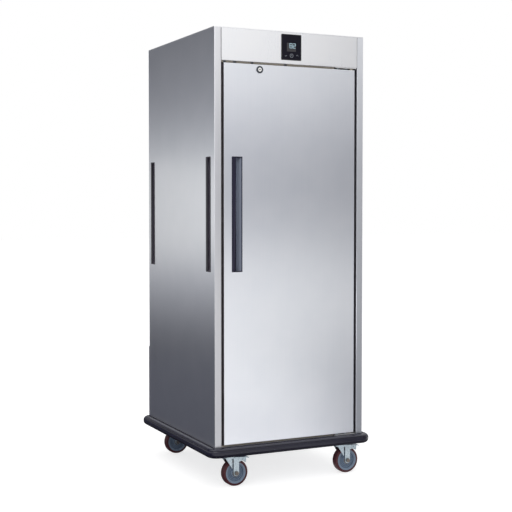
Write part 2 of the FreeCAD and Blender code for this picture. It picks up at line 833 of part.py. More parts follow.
def fan_wheel():
    rear = liner_rear - fan_gap
    plate = rod((0, rear - fan_plate, fan_height), Y, fan_radius, fan_plate)
    hub = rod((0, rear - fan_depth + fan_plate, fan_height), Y, fan_hub_radius, fan_depth - fan_plate)
    eye = rod((0, rear - fan_depth, fan_height), Y, fan_radius, fan_plate)
    eye = eye.cut(rod((0, rear - fan_depth - skim, fan_height), Y, fan_radius - fan_blade_length, fan_depth))
    pieces = [plate, hub, eye]
    blade = box((-fan_blade_thickness / 2, rear - fan_depth + fan_plate, -fan_blade_length / 2),
                (fan_blade_thickness / 2, rear - fan_plate, fan_blade_length / 2))
    blade = blade.rotated(V(0, 0, 0), Y, fan_blade_lean)
    reach = fan_radius - fan_blade_length / 2 - fan_plate
    for i in range(fan_blades):
        placed = blade.translated(V(0, 0, reach)).rotated(V(0, 0, 0), Y, i * 360 / fan_blades)
        pieces.append(placed.translated(V(0, 0, fan_height)))
    wheel = fuse(pieces).cut(rod((0, 0, fan_height), Y, shaft_radius, through))
    end = liner_rear + liner_sheet + motor_flange_thickness + motor_bore_depth
    start = rear - fan_depth + fan_plate
    return wheel, rod((0, start, fan_height), Y, shaft_radius, end - start - running_clearance)


def fan_motor():
    seat = liner_rear + liner_sheet
    body_front = seat + motor_flange_thickness
    flange = rod((0, seat, fan_height), Y, motor_flange_radius, motor_flange_thickness)
    body = rod((0, body_front, fan_height), Y, motor_radius, motor_length)
    junction = box((-motor_box_width / 2, body_front, fan_height),
                   (motor_box_width / 2, body_front + motor_box_depth, fan_height + motor_box_top))
    bore = rod((0, seat - skim, fan_height), Y, shaft_radius + running_clearance,
               skim + motor_flange_thickness + motor_bore_depth)
    return fuse([flange, body, junction]).cut(bore)


def heater_leg_places():
    gap = math.radians(heater_gap_angle / 2)
    reach = heater_ring_radius * math.sin(gap) - heater_bend * math.cos(gap)
    return -reach, reach


def heater_leg_height():
    gap = math.radians(heater_gap_angle / 2)
    return heater_ring_radius * math.cos(gap) + heater_bend * math.sin(gap)


def heater_element():
    """Tube bent to a ring round the fan, open at the top, with two legs back through the liner and a flange."""
    gap = math.radians(heater_gap_angle / 2)
    left, right = [V(s * heater_ring_radius * math.sin(gap), 0, heater_ring_radius * math.cos(gap))
                   for s in (-1, 1)]
    leg_length = (duct_depth + back_wall) / 2
    slant = heater_bend * math.sqrt(0.5)
    bends, legs = [], []
    for end, x in zip((left, right), heater_leg_places()):
        foot = V(x, heater_bend, heater_leg_height())
        inward = (foot - end - Y * heater_bend).normalize()
        middle = end + Y * (heater_bend - slant) + inward * slant
        bends.append(Part.Arc(end, middle, foot).toShape())
        legs.append(Part.LineSegment(foot, V(x, leg_length, heater_leg_height())).toShape())
    ring = Part.Arc(left, -Z * heater_ring_radius, right).toShape()
    path = Part.Wire(Part.__sortEdges__([legs[0], bends[0], ring, bends[1], legs[1]]))
    section = Part.Wire([Part.makeCircle(heater_tube_radius, legs[0].Vertexes[-1].Point, Y)])
    tube = path.makePipeShell([section], True, False)
    w, h = heater_flange_width / 2, heater_flange_height / 2
    seat = duct_depth / 2
    flange = box((-w, seat - heater_flange_thickness, heater_leg_height() - h),
                 (w, seat, heater_leg_height() + h))
    return fuse([tube, flange]).translated(V(0, liner_rear - seat, fan_height))


def temperature_probe():
    base = (-liner_side, duct_front - probe_before_duct, cavity_ceiling - probe_below_ceiling)
    flange = rod(base, X, probe_flange_radius, probe_flange_thickness)
    return fuse([flange, rod(base, X, probe_radius, probe_length)])


# Rear cover and electrics
def cover_screw_places():
    x = half_width - cover_inset - cover_screw_inset
    low, high = body_bottom + cover_screw_inset, body_bottom + cover_height - cover_screw_inset
    return [(sx, z) for sx in (-x, 0, x) for z in (low, high)]


def rear_cover():
    x = half_width - cover_inset
    outside = back + cover_depth
    shape = box((-x, back, body_bottom), (x, outside, body_bottom + cover_height))
    shape = shape.makeFillet(bend_radius, upright_edges(shape, [(-x, outside), (x, outside)]))
    shape = shape.cut(box((-x + sheet, back - skim, body_bottom + sheet),
                          (x - sheet, outside - sheet, body_bottom + cover_height - sheet)))
    holes = []
    for centre in (0, vent_centre):
        for i in range(vent_slots):
            z = inlet_height + (i - (vent_slots - 1) / 2) * vent_slot_pitch
            holes.append(box((centre - vent_slot_length / 2, outside - 2 * sheet, z - vent_slot_height / 2),
                             (centre + vent_slot_length / 2, outside + skim, z + vent_slot_height / 2)))
    w, h = inlet_body_width / 2, inlet_body_height / 2
    holes.append(box((inlet_centre - w, outside - 2 * sheet, inlet_height - h),
                     (inlet_centre + w, outside + skim, inlet_height + h)))
    holes += [rod((sx, outside - 2 * sheet, z), Y, screw_radius, 4 * sheet) for sx, z in cover_screw_places()]
    return shape.cut(holes)


def power_inlet():
    outside = back + cover_depth
    w, h = inlet_body_width / 2, inlet_body_height / 2
    bottom = outside - inlet_body_depth
    flange = box((inlet_centre - inlet_flange_width / 2, outside, inlet_height - inlet_flange_height / 2),
                 (inlet_centre + inlet_flange_width / 2, outside + inlet_flange_thickness,
                  inlet_height + inlet_flange_height / 2))
    body = box((inlet_centre - w, bottom, inlet_height - h), (inlet_centre + w, outside, inlet_height + h))
    hollow = box((inlet_centre - w + inlet_wall, bottom + inlet_wall, inlet_height - h + inlet_wall),
                 (inlet_centre + w - inlet_wall, outside + through, inlet_height + h - inlet_wall))
    shape = fuse([flange, body]).cut(hollow)
    places = [(-inlet_pin_spread, -inlet_pin_rise), (inlet_pin_spread, -inlet_pin_rise), (0, inlet_pin_rise)]
    pins = [box((inlet_centre + x - inlet_pin_thickness / 2, bottom + inlet_wall - skim,
                 inlet_height + z - inlet_pin_width / 2),
                (inlet_centre + x + inlet_pin_thickness / 2, bottom + inlet_wall + inlet_pin_length,
                 inlet_height + z + inlet_pin_width / 2)) for x, z in places]
    return fuse([shape] + pins)


def terminal_block():
    x, z = terminal_length / 2, terminal_height / 2
    face = back + terminal_depth
    shape = box((terminal_centre - x, back, inlet_height - z), (terminal_centre + x, face, inlet_height + z))
    pitch = terminal_length / terminal_ways
    wells = [rod((terminal_centre - x + (i + 0.5) * pitch, face - terminal_way_depth, inlet_height), Y,
                 pitch / 3, through) for i in range(terminal_ways)]
    return shape.cut(wells)


def wiring():
    """Conduit from the control unit back and down to the fan motor, and the lead from inlet to terminals."""
    start = V(0, front + controller_depth, controller_z)
    corner = V(0, conduit_y, controller_z)
    end = V(0, conduit_y, fan_height + motor_box_top)
    before, after = corner - Y * conduit_bend, corner - Z * conduit_bend
    slant = conduit_bend * (1 - math.sqrt(0.5))
    middle = corner - Y * slant - Z * slant
    path = Part.Wire([Part.LineSegment(start, before).toShape(), Part.Arc(before, middle, after).toShape(),
                      Part.LineSegment(after, end).toShape()])
    section = Part.Wire([Part.makeCircle(conduit_radius, start, Y)])
    conduit = path.makePipeShell([section], True, False)
    left = inlet_centre + inlet_body_width / 2
    lead = rod((left, back + terminal_depth / 2, inlet_height), X, lead_radius,
               terminal_centre - terminal_length / 2 - left)
    return conduit, lead


# Screws with round heads
def hinge_screw_places():
    return [(hinge_plate_left + inset, hinge_y) for inset in hinge_screw_insets]


def screw(head_seat, direction, shank):
    """Screw whose head stands on a face, with its shank along the given direction."""
    seat = V(*head_seat)
    crown = seat - direction * screw_head_height
    head = Part.makeCylinder(screw_head_radius, screw_head_height, crown, direction)
    rim = [e for e in head.Edges if len(e.Vertexes) == 1
           and e.CenterOfMass.distanceToPoint(crown) < 1e-6]
    head = head.makeFillet(screw_head_height / 2, rim)
    return fuse([head, Part.makeCylinder(screw_radius, shank, seat, direction)])


def screws():
    group = [screw((x, front + fascia_screw_depth, fascia_bottom), Z, 4 * sheet) for x in fascia_screw_places]
    for x, y in hinge_screw_places():
        group.append(screw((x, y, fascia_bottom - hinge_plate_thickness), Z, hinge_plate_thickness))
        group.append(screw((x, y, sill_top + hinge_plate_thickness), -Z, hinge_plate_thickness))
    group += [screw((x, back + cover_depth, z), -Y, cover_depth + sheet) for x, z in cover_screw_places()]
    return group


# Casters, each built round its swivel axis with the wheel trailing towards +X
def caster_places():
    return {"front_left": (-caster_x, -caster_y), "front_right": (caster_x, -caster_y),
            "rear_left": (-caster_x, caster_y), "rear_right": (caster_x, caster_y)}


def bolt_places():
    return [(x + sx * bolt_spread_x, y + sy * bolt_spread_y)
            for x, y in caster_places().values() for sx in (-1, 1) for sy in (-1, 1)]


def caster_bolt():
    """Hex bolt up through plate and base, with its nut."""
    seat = base_bottom - plate_thickness
    web = base_bottom + base_sheet + channel_sheet
    shank = rod((0, 0, seat), Z, bolt_radius, web - seat + 2 * bolt_head_height)
    head = hexagon((0, 0, seat - bolt_head_height), Z, bolt_head_radius, bolt_head_height)
    return fuse([head, shank, hexagon((0, 0, web), Z, bolt_head_radius, bolt_head_height)])


def caster_plate():
    """Top plate with the upper race and the riveted kingpin."""
    seat = base_bottom - plate_thickness
    x, y = plate_length / 2, plate_width / 2
    plate = rounded_block((-x, -y, seat), (x, y, base_bottom), plate_corner)
    race = rod((0, 0, seat - race_height), Z, race_radius, race_height)
    rivet = crown_bottom - kingpin_head_gap - kingpin_head_height
    pin = rod((0, 0, rivet), Z, kingpin_radius, seat - rivet)
    head = rod((0, 0, rivet), Z, kingpin_head_radius, kingpin_head_height)
    shape = fuse([plate, race, pin, head])
    deep = plate_thickness + 2 * skim
    holes = [rod((sx * bolt_spread_x, sy * bolt_spread_y, seat - skim), Z, bolt_radius, deep)
             for sx in (-1, 1) for sy in (-1, 1)]
    return shape.cut(holes)


def fork_leg(y):
    """Side plate of the fork: strip down to the axle, shoulder behind it, and a gusset in front, cut free of it."""
    half = fork_leg_width / 2
    top = crown_bottom + fork_sheet
    edge = wheel_trail - half
    outline = [
        (-fork_gusset_reach, y, top), (edge - fork_relief, y, wheel_radius + fork_gusset_foot),
        (edge - fork_relief, y, crown_bottom - fork_sheet), (edge, y, crown_bottom - fork_sheet),
        (edge, y, wheel_radius), (wheel_trail + half, y, wheel_radius),
        (wheel_trail + half, y, pedal_pivot_height - fork_ear),
        (pedal_pivot_x + fork_ear_reach - fork_ear_chamfer, y, pedal_pivot_height - fork_sheet - fork_pin_wall),
        (pedal_pivot_x + fork_ear_reach, y, pedal_pivot_height - fork_pin_wall),
        (pedal_pivot_x + fork_ear_reach, y, crown_bottom), (race_radius, y, top),
    ]
    return fuse([prism(outline, Y * fork_sheet), rod((wheel_trail, y, wheel_radius), Y, half, fork_sheet)])


def fork(braked):
    """Pressed fork with its crown, and the pedal's pin on a braked one."""
    crown = rod((0, 0, crown_bottom), Z, race_radius, crown_height)
    web = box((-fork_gusset_reach, -fork_outer, crown_bottom),
              (race_radius, fork_outer, crown_bottom + fork_sheet))
    pieces = [crown, web, fork_leg(-fork_outer), fork_leg(fork_inner)]
    if braked:
        pieces.append(rod((pedal_pivot_x, -fork_outer - skim, pedal_pivot_height), Y, pedal_pin_radius,
                          2 * (fork_outer + skim)))
    shape = fuse(pieces).cut(rod((0, 0, 0), Z, kingpin_radius + running_clearance, through))
    return shape.cut(rod((wheel_trail, -through, wheel_radius), Y, axle_radius, 2 * through))


def axle():
    """Axle bolt with its nut, seated on the outside of the fork."""
    reach = fork_outer + axle_head_height
    shank = rod((wheel_trail, -fork_outer, wheel_radius), Y, axle_radius, fork_outer + reach + skim)
    head = hexagon((wheel_trail, -reach, wheel_radius), Y, axle_head_radius, axle_head_height)
    nut = hexagon((wheel_trail, fork_outer, wheel_radius), Y, axle_head_radius, axle_head_height)
    return fuse([head, shank, nut])


def turned(profile):
    """Solid turned round the axle from a closed outline of (radius, side) points."""
    corners = [V(wheel_trail + r, y, wheel_radius) for r, y in profile]
    face = Part.Face(Part.makePolygon(corners + corners[:1]))
    return face.revolve(V(wheel_trail, 0, wheel_radius), Y, 360)


def wheel_hub():
    """Moulded hub: boss, thin web, a step and the rim that carries the tread."""
    bore = axle_radius + running_clearance
    rim, boss = tread_width / 2, hub_width / 2
    inner = hub_radius - hub_rim
    half = [(bore, boss), (hub_boss_radius, boss), (hub_boss_radius, rim - hub_step),
            (hub_boss_radius + hub_step, rim - hub_step), (hub_boss_radius + hub_step, hub_web),
            (inner - hub_step, hub_web), (inner - hub_step, rim - hub_step / 2), (inner, rim - hub_step / 2),
            (inner, rim), (hub_radius, rim)]
    return turned(half + [(r, -y) for r, y in reversed(half)])


def wheel_tread():
    side = tread_width / 2
    ring = turned([(hub_radius, -side), (hub_radius, side), (wheel_radius, side), (wheel_radius, -side)])
    rims = [e for e in ring.Edges if len(e.Vertexes) == 1 and abs(e.BoundBox.YLength) < 1e-6
            and e.BoundBox.XLength > 2 * wheel_radius - 1e-3]
    return ring.makeFillet(tread_round, rims)


def brake_pedal():
    """Pedal that turns on the fork's pin; pressed down, its shoe comes close to the tread."""
    x, z = pedal_pivot_x, pedal_pivot_height
    t = pedal_thickness
    side = fork_inner - pedal_side_gap
    outline = [
        (x, -side, z + pedal_eye_radius), (x + pedal_crest, -side, z + 2 * t),
        (x + pedal_reach, -side, z + t), (x + pedal_reach, -side, z), (x + pedal_crest, -side, z + t),
        (x + pedal_shoe_far, -side, z - pedal_shoe_drop), (x + pedal_shoe_near, -side, z - pedal_shoe_drop),
        (x, -side, z - pedal_eye_radius),
    ]
    shape = fuse([prism(outline, Y * 2 * side), rod((x, -side, z), Y, pedal_eye_radius, 2 * side)])
    wheel = rod((wheel_trail, -through, wheel_radius), Y, wheel_radius + brake_clearance, 2 * through)
    shape = shape.cut(wheel.rotated(V(x, 0, z), Y, -pedal_press))
    return shape.cut(rod((x, -through, z), Y, pedal_pin_radius + running_clearance, 2 * through))


os.makedirs("parts", exist_ok=True)

left_panels = side_panel()
save("side_panel_left", *left_panels)
save("side_panel_right", *[mirrored(p) for p in left_panels])
save("base_frame", base_frame())
save("bumper", bumper())
save("back_panel", back_panel())
save("top_panel", top_panel())
save("fascia", fascia())
save("sill", sill())
save("door_frame", door_frame())
liner_left, liner_back, liner_ceiling, liner_floor = liner_sheets()
save("liner_left", liner_left)
save("liner_right", mirrored(liner_left))
save("liner_back", liner_back)
save("liner_ceiling", liner_ceiling)
save("liner_floor", liner_floor)
save("wall_insulation", *insulation())

left_grips = [on_left_side(piece, edge) for edge in side_grip_edges for piece in grip()]
save("side_grips_left", *left_grips)
save("side_grips_right", *[mirrored(g) for g in left_grips])

save("door_skin", door_skin())
save("door_edge_trim", door_edge_trim())
save("door_liner", door_liner())
save("door_core", door_core())
save("door_gasket", door_gasket())
save("door_handle", *[on_door(piece) for piece in grip()])
save("door_hinges", *door_hinges())
save("hinge_bushes", *hinge_bushes())
save("lock_barrel", lock_barrel())
save("lock_plug", lock_plug())
save("lock_cam", lock_cam())

save("controller_body", controller_body())
save("controller_front", controller_front())

save("rack_posts", *rack_posts())
save("shelf_slides", *shelf_slides())
one_shelf = wire_shelf()
save("wire_shelves", *[one_shelf.translated(Z * (z + shelf_rest_gap)) for z in shelf_heights()])

save("air_baffle", air_baffle())
save("fan_wheel", *fan_wheel())
save("fan_motor", fan_motor())
save("heater_element", heater_element())
save("temperature_probe", temperature_probe())
save("rear_cover", rear_cover())
save("power_inlet", power_inlet())
save("terminal_block", terminal_block())
save("wiring", *wiring())
save("screws", *screws())

bolt = caster_bolt()
save("caster_bolts", *[bolt.translated(V(x, y, 0)) for x, y in bolt_places()])
top_plate = caster_plate()
save("caster_plates", *[top_plate.translated(V(x, y, 0)) for x, y in caster_places().values()])
for place, (x, y) in caster_places().items():
    braked = place.startswith("front")
    for node, solids in (("caster_fork_", (fork(braked), axle())), ("wheel_hub_", (wheel_hub(),)),
                         ("wheel_tread_", (wheel_tread(),))):
        save(node + place, *[s.translated(V(x, y, 0)) for s in solids])
    if braked:
        save("brake_pedal_" + place, brake_pedal().translated(V(x, y, 0)))
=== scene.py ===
"""Looks of a heated banquet cart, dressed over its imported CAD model.

Sizes are written in millimetres and turned to the frame's metres by MM. X runs to the right of the cart, Y to
its back and Z up, and it stands on Z = 0.
"""

import json
import logging
import math
from dataclasses import dataclass, field
from enum import Enum
from typing import Callable, ClassVar

import bmesh
import bpy
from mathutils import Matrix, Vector

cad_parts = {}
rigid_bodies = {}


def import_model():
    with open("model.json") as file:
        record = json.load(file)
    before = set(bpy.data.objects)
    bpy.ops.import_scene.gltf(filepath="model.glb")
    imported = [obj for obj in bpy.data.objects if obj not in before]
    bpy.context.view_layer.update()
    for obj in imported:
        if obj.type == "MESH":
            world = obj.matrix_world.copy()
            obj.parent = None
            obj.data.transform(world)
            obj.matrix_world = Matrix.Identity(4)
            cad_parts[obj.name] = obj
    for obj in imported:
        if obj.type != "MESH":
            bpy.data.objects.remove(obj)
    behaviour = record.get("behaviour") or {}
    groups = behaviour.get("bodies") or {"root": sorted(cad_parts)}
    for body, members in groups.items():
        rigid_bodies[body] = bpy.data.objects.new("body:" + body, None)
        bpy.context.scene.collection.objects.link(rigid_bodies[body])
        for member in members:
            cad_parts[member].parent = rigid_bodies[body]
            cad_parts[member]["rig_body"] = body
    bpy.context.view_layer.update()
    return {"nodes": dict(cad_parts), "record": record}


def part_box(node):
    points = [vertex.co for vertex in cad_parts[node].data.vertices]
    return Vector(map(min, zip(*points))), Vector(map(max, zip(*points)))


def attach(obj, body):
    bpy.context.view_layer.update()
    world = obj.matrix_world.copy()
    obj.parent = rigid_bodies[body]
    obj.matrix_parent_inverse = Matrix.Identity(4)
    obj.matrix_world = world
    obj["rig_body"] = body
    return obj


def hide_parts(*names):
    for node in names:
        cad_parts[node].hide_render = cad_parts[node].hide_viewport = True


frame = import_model()
MM = 0.001
LOG = logging.getLogger("banquet_cart")

Piece = bpy.types.Object
Test = Callable[[Vector, Vector], bool]
Steps = tuple[tuple[float, float], ...]

ALONG_X, ALONG_Y, ALONG_Z = (1, 0, 0), (0, 1, 0), (0, 0, 1)
ROUND_Y = (math.pi / 2, 0, 0)
# Points within WELD are one point, and a face within NEAR of a plane lies in it.
WELD = 0.01 * MM
NEAR = 0.1 * MM
# Least share of its normal along an axis for a face that looks along it, and for one that is flat across it.
SQUARE = 0.9
FLAT = 0.95
# Edges that turn by more than the first angle are rounded, and shading is smooth below the second.
SHARP_DEG = 40.0
SMOOTH_DEG = 35.0
# Wiping leaves smears about as wide as a hand. With the fine marks they add up to values mostly in this range.
SMEAR_MM = 110.0
VARIED = (0.65, 1.35)
# Heights between which a finish is painted darker and darker towards its low colour, a painted shade.
LOW_SHADE_M = (1.75, 0.15)


class Part(Enum):
    """Kind of mesh element that an edit selects."""

    VERTEX = "VERT"
    EDGE = "EDGE"
    FACE = "FACE"


class Edge(Enum):
    """Width in millimetres of the rounding along a piece's edges."""

    HAIRLINE = 0.3
    FINE = 0.5
    NEAT = 0.6
    SOFT = 0.7
    STOUT = 0.8
    FULL = 1.0


class Marks(Enum):
    """Shape of the marks that a surface's making leaves."""

    GRIT = "soft grains"
    SPANGLE = "flat crystals"


class Grain(Enum):
    """Way a sheet was brushed, by the axis that its highlights spread round."""

    NONE = ""
    UPRIGHT = "Z"
    SIDEWAYS = "X"


def linear(colour: str) -> tuple[float, float, float, float]:
    """Turns an sRGB hex colour to the linear values that nodes take.

    Args:
        colour: a hash sign and six hex digits.
    Returns:
        Its red, green and blue, and a full alpha.
    """
    parts = [int(colour[i:i + 2], 16) / 255 for i in (1, 3, 5)]
    parts = [c / 12.92 if c <= 0.04045 else ((c + 0.055) / 1.055) ** 2.4 for c in parts]
    return parts[0], parts[1], parts[2], 1.0


def add_node(tree: bpy.types.NodeTree, kind: str, inputs: dict | None = None,
             **settings: object) -> bpy.types.Node:
    """Adds a node with its settings, input values and links.

    Args:
        tree: node tree that takes the node.
        kind: the node's type, without its ShaderNode prefix.
        inputs: each input's name or number, with its value or the output that feeds it.
        settings: the node's own attributes.
    Returns:
        The new node.
    """
    node = tree.nodes.new("ShaderNode" + kind)
    for name, value in settings.items():
        setattr(node, name, value)
    for key, value in (inputs or {}).items():
        if isinstance(value, bpy.types.NodeSocket):
            tree.links.new(value, node.inputs[key])
        else:
            node.inputs[key].default_value = value
    return node


def bare_tree(owner: bpy.types.Material | bpy.types.World) -> bpy.types.NodeTree:
    """Makes an empty node tree.

    Args:
        owner: material or world that it belongs to.
    Returns:
        The tree.
    """
    owner.use_nodes = True
    owner.node_tree.nodes.clear()
    return owner.node_tree


@dataclass(frozen=True)
class Finish:
    """A surface: its colours, its gloss and the marks that its making leaves, and on some finishes light or shade
    painted into it.

    colour and tone are the ends that the marks fade between, mark_mm is the size of one mark along X, Y and Z,
    gloss is the least and most roughness, relief_mm is how deep the marks are, spread is how far brushing draws
    highlights out across its grain, glow is light painted into it, which it gives out though it is no lamp, and
    the low colour is the one that it is painted darker towards, low down, a painted shade.
    """

    name: str
    colour: str
    tone: str
    mark_mm: tuple[float, float, float]
    gloss: tuple[float, float]
    relief_mm: float = 0.0
    marks: Marks = Marks.GRIT
    metallic: float = 0.0
    specular: float = 0.5
    grain: Grain = Grain.NONE
    spread: float = 0.0
    glow: float = 0.0
    low_shade: str = ""

    def material(self) -> bpy.types.Material:
        """Makes this finish's material the first time that a piece asks for it.

        Returns:
            The material, shared by all pieces with this finish.
        """
        made = bpy.data.materials.get(self.name)
        if made is None:
            made = bpy.data.materials.new(self.name)
            self.paint(bare_tree(made))
        return made

    def paint(self, tree: bpy.types.NodeTree) -> None:
        """Lays out the nodes: fine marks, hand-sized smears, and the shader that both of them vary.

        Args:
            tree: the material's empty node tree.
        """
        place = add_node(tree, "TexCoord").outputs["Object"]
        sized = add_node(tree, "Mapping", {"Vector": place, "Scale": [1 / (s * MM) for s in self.mark_mm]})
        if self.marks is Marks.SPANGLE:
            mark = add_node(tree, "TexVoronoi", {"Vector": sized.outputs[0], "Scale": 1.0}).outputs["Color"]
        else:
            mark = add_node(tree, "TexNoise", {"Vector": sized.outputs[0], "Scale": 1.0, "Detail": 4.0}).outputs[0]
        smear = add_node(tree, "TexNoise", {"Vector": place, "Scale": 1 / (SMEAR_MM * MM), "Detail": 2.0})
        both = add_node(tree, "Math", {0: mark, 1: smear.outputs[0]}, operation="ADD").outputs[0]
        varied = {"Value": both, "From Min": VARIED[0], "From Max": VARIED[1]}
        fade = add_node(tree, "MapRange", varied).outputs[0]
        colour = add_node(tree, "Mix", {0: fade, 6: linear(self.colour), 7: linear(self.tone)}, data_type="RGBA")
        # Low down the colour is painted darker, towards the low colour: a painted shade.
        if self.low_shade:
            height = add_node(tree, "SeparateXYZ", {0: place}).outputs["Z"]
            shade_share = add_node(tree, "MapRange", {"Value": height, "From Min": LOW_SHADE_M[0], "From Max": LOW_SHADE_M[1]})
            colour = add_node(tree, "Mix", {0: shade_share.outputs[0], 6: colour.outputs[2], 7: linear(self.low_shade)},
                              data_type="RGBA")
        rough = add_node(tree, "MapRange", {**varied, "To Min": self.gloss[0], "To Max": self.gloss[1]})
        shader = add_node(tree, "BsdfPrincipled", {
            "Base Color": colour.outputs[2], "Roughness": rough.outputs[0], "Metallic": self.metallic,
            "Specular IOR Level": self.specular, "Anisotropic": self.spread})
        # A painted glow: the finish gives out light in its own colour, though it is no lamp.
        if self.glow:
            tree.links.new(colour.outputs[2], shader.inputs["Emission Color"])
            shader.inputs["Emission Strength"].default_value = self.glow
        if self.grain is not Grain.NONE:
            around = add_node(tree, "Tangent", direction_type="RADIAL", axis=self.grain.value)
            tree.links.new(around.outputs[0], shader.inputs["Tangent"])
        if self.relief_mm:
            bump = add_node(tree, "Bump", {"Height": mark, "Strength": 1.0, "Distance": self.relief_mm * MM})
            tree.links.new(bump.outputs[0], shader.inputs["Normal"])
        add_node(tree, "OutputMaterial", {"Surface": shader.outputs[0]})


# Stainless sheet, brushed upright: scratches about 0.05 mm apart, drawn coarser so that they show, which spread a
# reflection sideways into soft upright streaks. Level sheets are brushed sideways.
BRUSHED: dict[str, float] = {"metallic": 1.0, "spread": 0.6}
SIDE_STEEL = Finish("brushed_stainless_side", "#E8EBF0", "#EDEFF4", (1.6, 1.6, 300), (0.275, 0.29), 0.0008,
                    grain=Grain.UPRIGHT, **BRUSHED)
DOOR_STEEL = Finish("brushed_stainless_door", "#EEF1F7", "#F4F6FB", (1.4, 1.4, 340), (0.275, 0.29), 0.0006,
                    grain=Grain.UPRIGHT, **BRUSHED)
FASCIA_STEEL = Finish("brushed_stainless_fascia", "#F9FAFD", "#FEFEFF", (1.4, 1.4, 340), (0.27, 0.295), 0.0012,
                      grain=Grain.UPRIGHT, **BRUSHED)
TOP_STEEL = Finish("brushed_stainless_level", "#B4B7BD", "#C0C3C8", (300, 1.6, 1.6), (0.27, 0.3), 0.0012,
                   grain=Grain.SIDEWAYS, **BRUSHED)
# The folded posts are brushed after bending, which leaves them duller than the flat sheets. Towards the floor
# their colour is painted darker and darker, most of all on the hinge side: a painted shade.
LEFT_POST = Finish("brushed_stainless_left_post", "#F0F0F3", "#F5F5F8", (1.6, 1.6, 300), (0.34, 0.37), 0.0012,
                   grain=Grain.UPRIGHT, low_shade="#CACACE", **BRUSHED)
RIGHT_POST = Finish("brushed_stainless_right_post", "#EEF0F5", "#F2F4F8", (1.6, 1.6, 300), (0.4, 0.44), 0.0012,
                    grain=Grain.UPRIGHT, low_shade="#AEB1B8", **BRUSHED)
# Mill-finish stainless inside the oven: duller, with hardly any grain.
LINER_STEEL = Finish("mill_stainless_liner", "#C4C6C8", "#D4D5D6", (3, 3, 160), (0.32, 0.44), 0.003, metallic=1.0)
# Galvanised steel: bluish zinc crystals a few millimetres wide, each with its own gloss.
ZINC = Finish("zinc_plated_steel", "#9FADB6", "#C2CED5", (3.5, 3.5, 3.5), (0.24, 0.4), marks=Marks.SPANGLE,
              metallic=1.0)
# Bright chrome over drawn wire: near mirror, a little uneven.
CHROME = Finish("chromed_wire", "#D2D3D5", "#E2E2E3", (4, 4, 4), (0.08, 0.16), metallic=1.0)
# Nickel over brass: bright and a little warm, blurred by polishing.
NICKEL = Finish("nickel_plated_brass", "#F0EFED", "#F8F7F5", (1.2, 1.2, 1.2), (0.16, 0.26), 0.004, metallic=1.0)
# Black chrome over die-cast zinc: a dark, blurred mirror.
DARK_CHROME = Finish("black_chromed_zinc", "#4A4E54", "#575B61", (1.2, 1.2, 1.2), (0.2, 0.3), 0.004, metallic=1.0)
# Phosphated steel: dark grey and nearly matt.
HINGE_STEEL = Finish("phosphated_steel", "#5A5C60", "#6C6E72", (2, 2, 2), (0.38, 0.5), 0.006, metallic=1.0)
# Sintered bronze: brown, with pores that hold oil and make its gloss uneven.
BRONZE = Finish("oiled_sintered_bronze", "#857B6B", "#98907F", (0.7, 0.7, 0.7), (0.35, 0.5), 0.01, metallic=1.0)
# Sweep strips in the gaps over and under the door: brown-grey PVC with long flow lines, pale so that the shaded
# gaps look lit: a painted light.
SWEEP_PAINTED_LIGHT = Finish("taupe_pvc_painted_light", "#A79F92", "#B7AFA2", (60, 2, 2), (0.5, 0.62), 0.01, specular=0.3)
# Moulded ABS: a spark-eroded grain of about 0.5 mm, drawn coarser, that takes the shine off the black.
BLACK_ABS = Finish("moulded_black_abs", "#16151B", "#232229", (0.9, 0.9, 0.9), (0.42, 0.56), 0.02, specular=0.3)
GRIP_ABS = Finish("moulded_charcoal_abs", "#2E2B36", "#38353F", (0.9, 0.9, 0.9), (0.4, 0.52), 0.012, specular=0.35)
# Deep inside the grips the moulding is painted paler, a painted fill light against the shade in the recess.
GRIP_PAINTED_FILL = Finish("charcoal_abs_painted_fill", "#847F8C", "#928D9A", (0.9, 0.9, 0.9), (0.36, 0.48), 0.008, specular=0.4)
# The door handle is a satin navy-black moulding. Its sloping scoop is painted pale slate, a painted light on the
# slope, and paler still over its deep half, a painted fill light against the shade there.
HANDLE_ABS = Finish("satin_navy_abs", "#1D1B31", "#25233B", (0.9, 0.9, 0.9), (0.3, 0.4), 0.01, specular=0.3)
SCOOP_PAINTED_LIGHT = Finish("satin_slate_abs_painted_light", "#7F8799", "#8C94A5", (0.9, 0.9, 0.9), (0.28, 0.38), 0.008)
SCOOP_PAINTED_FILL = Finish("slate_abs_painted_fill", "#A6B2CA", "#B2BED4", (0.9, 0.9, 0.9), (0.26, 0.36), 0.008)
# Extruded PVC: satin, with faint flow lines along its length. Both are painted lighter than black trim, so that
# the shaded gaps beside the door do not go black: a painted light.
TRIM = Finish("extruded_charcoal_pvc", "#5C565A", "#686266", (2, 2, 90), (0.45, 0.6), 0.01, specular=0.3)
BREAKER = Finish("extruded_black_pvc", "#2E2B2E", "#3A373A", (2, 2, 90), (0.45, 0.6), 0.01, specular=0.25)
# Moulded EPDM: navy black with a satin skin. Its underside and its ledge along the panels get a dull, faintly
# darker
# rubber that reflects little: a painted shade under the bumper and at the foot of the panels.
RUBBER = Finish("moulded_black_rubber", "#161428", "#1F1D32", (1.8, 1.8, 1.8), (0.18, 0.26), 0.006, specular=0.48)
RUBBER_SHADE = Finish("dull_black_rubber_painted_shade", "#151322", "#1E1C2B", (1.8, 1.8, 1.8), (0.5, 0.62), 0.01, specular=0.12)
# Silicone sealant: a grey bead with a soft sheen.
SEAM = Finish("grey_silicone", "#6C6D71", "#78797D", (2, 2, 9), (0.4, 0.5), specular=0.4)
# Soft extruded PVC of the door seal: mid grey and nearly matt.
GASKET = Finish("extruded_grey_pvc", "#4A4A4B", "#59595A", (1.5, 1.5, 60), (0.45, 0.6), 0.01, specular=0.3)
# Sawn foam board: straw yellow and matt, its cells drawn coarser so that they show.
FOAM = Finish("polyisocyanurate_foam", "#D8C99A", "#E6DAB4", (1.8, 1.8, 1.8), (0.8, 0.95), 0.12, specular=0.2)
